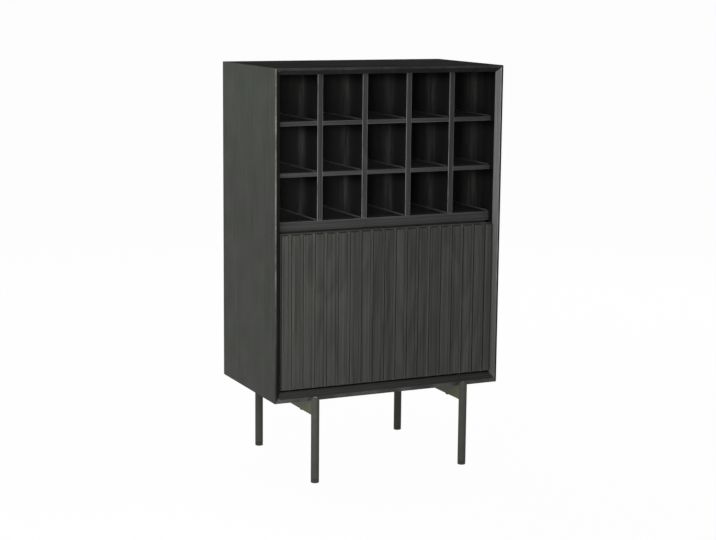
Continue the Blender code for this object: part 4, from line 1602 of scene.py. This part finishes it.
@dataclass
class LegFrames:
    """Round legs with foot caps, joined in pairs by welded rails."""

    corners: tuple[str, ...] = ("front_left", "front_right", "rear_left", "rear_right")
    wall: float = 0.0015
    top_radius: float = 0.0035
    spot_radius: float = 0.0045
    round_steps: int = 8
    rim_chamfer: float = 0.0004
    bore_clearance: float = 0.0005
    sole_radius: float = 0.0014
    rail_edge_radius: float = 0.0006
    bead_radius: float = 0.0019
    bead_steps: int = 12
    bead_cuts: int = 26
    bead_ripple: float = 0.00025
    bead_ripple_cells: float = 420.0
    screw_shank: float = 0.0030

    def axis(self, node: str) -> Vector:
        """Return the foot, at height zero, of an upright node's axis."""
        return start_of(node, Facing.UP) * Vector((1, 1, 0))

    def arc(self, radius: float, top: float, reach: float) -> list[tuple[float, float]]:
        """Draw the rounded shoulder of a turned end, from its flat to its side.

        Args:
            radius: the piece's radius.
            top: the height of its flat end.
            reach: the shoulder's own radius.

        Returns:
            The profile's points.
        """
        turns = spread(0, math.pi / 2, self.round_steps + 1)
        side, base = radius - reach, top - reach
        return [(side + reach * math.sin(turn), base + reach * math.cos(turn)) for turn in turns]

    def leg(self, corner: str) -> None:
        """Make one leg: a tube with a rounded closed top, with a painted highlight in its middle.

        Args:
            corner: the leg's corner.
        """
        node = f"leg_{corner}"
        low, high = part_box(node)
        plug_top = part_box(f"foot_cap_{corner}")[1].z + self.bore_clearance
        radius, top, foot = (high.x - low.x) / 2, high.z, low.z
        profile = [(0, top), (self.spot_radius, top), *self.arc(radius, top, self.top_radius)]
        profile += [(radius, foot + self.rim_chamfer), (radius - self.rim_chamfer, foot)]
        profile += [(radius - self.wall, foot), (radius - self.wall, plug_top), (0, plug_top)]
        axis, reach = self.axis(node), self.spot_radius + MERGE_DISTANCE
        work = Workpiece.turned(profile, Facing.UP, axis, ROUND_STEPS)
        high_verts = [vert for vert in work.shape.verts if vert.co.z > plug_top]
        spot = {vert for vert in high_verts if (vert.co - axis).xy.length < reach}
        # The middle of the top gets the paler edge colour: a painted highlight.
        work.mark(work.edge, 1.0, lambda face: spot.issuperset(face.verts))
        work.finish(f"{node}_tube", LEG_STEEL, Body.CABINET, [node])

    def foot_cap(self, corner: str) -> None:
        """Make one foot cap with its plug.

        Args:
            corner: the leg's corner.
        """
        node = f"foot_cap_{corner}"
        low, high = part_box(node)
        radius, sole = (high.x - low.x) / 2, self.sole_radius
        plug, rim = radius - self.wall - self.bore_clearance, self.rim_chamfer
        cap_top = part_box(f"leg_{corner}")[0].z - self.bore_clearance
        profile = [(0, high.z), (plug, high.z), (plug, cap_top)]
        profile += [(radius - rim, cap_top), (radius, cap_top - rim)]
        profile += [(across, sole - height) for across, height in reversed(self.arc(radius, sole, sole))]
        work = Workpiece.turned([*profile, (0, 0)], Facing.UP, self.axis(node), ROUND_STEPS)
        work.finish(f"{node}_moulded", BLACK_PLASTIC, Body.CABINET, [node])

    def bead(self, x: float, y: float, low: float, high: float) -> Workpiece:
        """Make a rippled weld bead that stands upright between a rail and a leg.

        Args:
            x: its place across.
            y: its place in depth.
            low: the height of its lower end.
            high: the height of its upper end.

        Returns:
            The bead.
        """
        work, radius = Workpiece(), self.bead_radius
        bmesh.ops.create_cone(
            work.shape,
            cap_ends=True,
            segments=self.bead_steps,
            radius1=radius,
            radius2=radius,
            depth=high - low,
            matrix=Matrix.Translation((x, y, (low + high) / 2)),
        )
        bmesh.ops.subdivide_edges(work.shape, edges=work.upright_edges(radius), cuts=self.bead_cuts)
        axis = Vector((x, y, 0))
        for vert in work.shape.verts:
            outward = ((vert.co - axis) * Vector((1, 1, 0))).normalized()
            ripple = math.sin(vert.co.z * self.bead_ripple_cells * math.pi)
            vert.co += outward * self.bead_ripple * (ripple + noise.noise(vert.co * self.bead_ripple_cells))
        return work

    def rail(self, word: str) -> None:
        """Make one rail, coped to its legs, with weld beads at its four corners.

        Args:
            word: left or right.
        """
        node = f"leg_rail_{word}"
        low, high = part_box(node)
        work = Workpiece.from_node(node)
        work.soften(work.sharp_edges(), self.rail_edge_radius, 2)
        inset = self.bead_radius / 2
        for corner in filter(lambda corner: corner.endswith(word), self.corners):
            leg_low, leg_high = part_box(f"leg_{corner}")
            radius, leg_y = (leg_high.x - leg_low.x) / 2, (leg_low.y + leg_high.y) / 2
            y = leg_y - math.copysign(math.sqrt(radius**2 - ((high.x - low.x) / 2) ** 2), leg_y)
            for x in (low.x, high.x):
                work.add(self.bead(x, y, low.z + inset, high.z - inset))
        work.finish(f"{node}_welded", BLACK_STEEL, Body.CABINET, [node])

    def screw(self, corner: str) -> None:
        """Make one rail screw.

        Args:
            corner: the corner of the leg that it stands by.
        """
        node = f"rail_screw_{corner}"
        low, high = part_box(node)
        axis, seat = self.axis(node), low.z + RAIL_SCREW.height
        work = RAIL_SCREW.make(Facing.DOWN, axis + Vector((0, 0, seat)))
        profile = ((0, high.z), (self.screw_shank, high.z), (self.screw_shank, seat), (0, seat))
        work.add(Workpiece.turned(profile, Facing.UP, axis))
        work.finish(f"{node}_socket_head", BLACK_STEEL, Body.CABINET, [node])

    def build(self) -> None:
        """Build and dress the leg frames."""
        for corner in self.corners:
            self.leg(corner)
            self.foot_cap(corner)
            self.screw(corner)
        for word in SIDES:
            self.rail(word)


@dataclass(frozen=True)
class SoftBox:
    """A square soft light that looks at the cabinet."""

    name: str
    azimuth: float
    elevation: float
    distance: float
    size: float
    power: float
    aim: Vector = Vector((0, 0, 0.55))

    def place(self) -> None:
        """Hang the light. Azimuth 0 is in front of the cabinet and 90 to its right."""
        lamp = bpy.data.lights.new(self.name, "AREA")
        lamp.shape, lamp.size, lamp.energy = "SQUARE", self.size, self.power
        around, up = math.radians(self.azimuth), math.radians(self.elevation)
        away = Vector((math.sin(around) * math.cos(up), -math.cos(around) * math.cos(up), math.sin(up)))
        holder = placed(self.name, lamp)
        holder.location = self.aim + away * self.distance
        holder.visible_camera = False
        holder.rotation_euler = (-away).to_track_quat("-Z", "Y").to_euler()


@dataclass
class Studio:
    """Floor, lights, world and camera."""

    image_width: int = 716
    sensor_width: float = 36.0
    focal_pixels: float = 1692.2
    camera_place: Vector = field(default_factory=lambda: Vector((-1.7786, -3.7727, 1.1905)))
    yaw: float = 25.165
    pitch: float = 9.720
    roll: float = 0.554
    floor_half_width: float = 200.0
    floor_colour: Colour = (0.80, 0.80, 0.80)
    floor_white_share: float = 0.97
    world_light: float = 0.42
    lights: tuple[SoftBox, ...] = (
        SoftBox("key_softbox", azimuth=-46, elevation=10, distance=1.25, size=1.0, power=10),
        SoftBox("right_softbox", azimuth=120, elevation=25, distance=3.4, size=1.6, power=30),
        SoftBox("rear_softbox", azimuth=180, elevation=40, distance=3.4, size=1.6, power=35),
    )

    def seen_rays(self, sheet: Sheet) -> NodeSocket:
        """Pick the rays that show the background.

        Args:
            sheet: the sheet to work on.

        Returns:
            1 for camera, glossy and transmission rays, else 0.
        """
        path = sheet.add("ShaderNodeLightPath").outputs
        seen = sheet.math("MAXIMUM", path["Is Camera Ray"], path["Is Glossy Ray"])
        return sheet.math("MAXIMUM", seen, path["Is Transmission Ray"])

    def world(self) -> None:
        """Set a white world that lights the cabinet more softly than it shows."""
        world = bpy.data.worlds.new("studio")
        world.use_nodes = True
        bpy.context.scene.world = world
        sheet, background = Sheet(world.node_tree), world.node_tree.nodes["Background"]
        background.inputs["Color"].default_value = (*WHITE, 1.0)
        strength = sheet.weigh(self.world_light, (self.seen_rays(sheet), 1 - self.world_light))
        sheet.feed(background.inputs["Strength"], strength)

    def floor(self) -> None:
        """Lay a pale floor that shows nearly white and keeps the cabinet's shadow."""
        shape, mesh = bmesh.new(), bpy.data.meshes.new("floor")
        bmesh.ops.create_grid(shape, x_segments=1, y_segments=1, size=self.floor_half_width)
        shape.to_mesh(mesh)
        shape.free()
        material = bpy.data.materials.new("pale_floor")
        material.use_nodes = True
        sheet, nodes = Sheet(material.node_tree), material.node_tree.nodes
        nodes.remove(nodes["Principled BSDF"])
        diffuse = sheet.add("ShaderNodeBsdfDiffuse", {"Color": (*self.floor_colour, 1.0)})
        white = sheet.add("ShaderNodeEmission", {"Color": (*WHITE, 1.0), "Strength": 1.0})
        share = sheet.math("MULTIPLY", self.seen_rays(sheet), self.floor_white_share)
        mixed = sheet.add("ShaderNodeMixShader", {0: share, 1: diffuse.outputs[0], 2: white.outputs[0]})
        sheet.feed(nodes["Material Output"].inputs["Surface"], mixed.outputs[0])
        mesh.materials.append(material)
        placed("floor", mesh)

    def camera(self) -> None:
        """Set up the camera from the view that was fitted to the photograph."""
        yaw, pitch, roll = (math.radians(angle) for angle in (self.yaw, self.pitch, self.roll))
        ahead = Vector((math.sin(yaw) * math.cos(pitch), math.cos(yaw) * math.cos(pitch), -math.sin(pitch)))
        level = Vector((math.cos(yaw), -math.sin(yaw), 0))
        above = level.cross(ahead)
        right = math.cos(roll) * level + math.sin(roll) * above
        up = math.cos(roll) * above - math.sin(roll) * level
        data = bpy.data.cameras.new("camera")
        data.sensor_width = self.sensor_width
        data.lens = self.focal_pixels / self.image_width * self.sensor_width
        camera = placed("camera", data)
        turn = Matrix((right, up, -ahead)).transposed()
        camera.matrix_world = Matrix.Translation(self.camera_place) @ turn.to_4x4()
        bpy.context.scene.camera = camera

    def build(self) -> None:
        """Build the studio."""
        self.world()
        self.floor()
        for light in self.lights:
            light.place()
        self.camera()
        bpy.context.scene.view_settings.view_transform = "Standard"


def main() -> None:
    """Dress the cabinet and set up its studio."""
    logging.basicConfig(level=logging.INFO, format="%(name)s: %(message)s")
    for assembly in (Case(), Rack(), Flap(), Fittings(), LegFrames()):
        log.info("building %s", type(assembly).__name__)
        assembly.build()
    Studio().build()


if __name__ == "__main__":
    main()
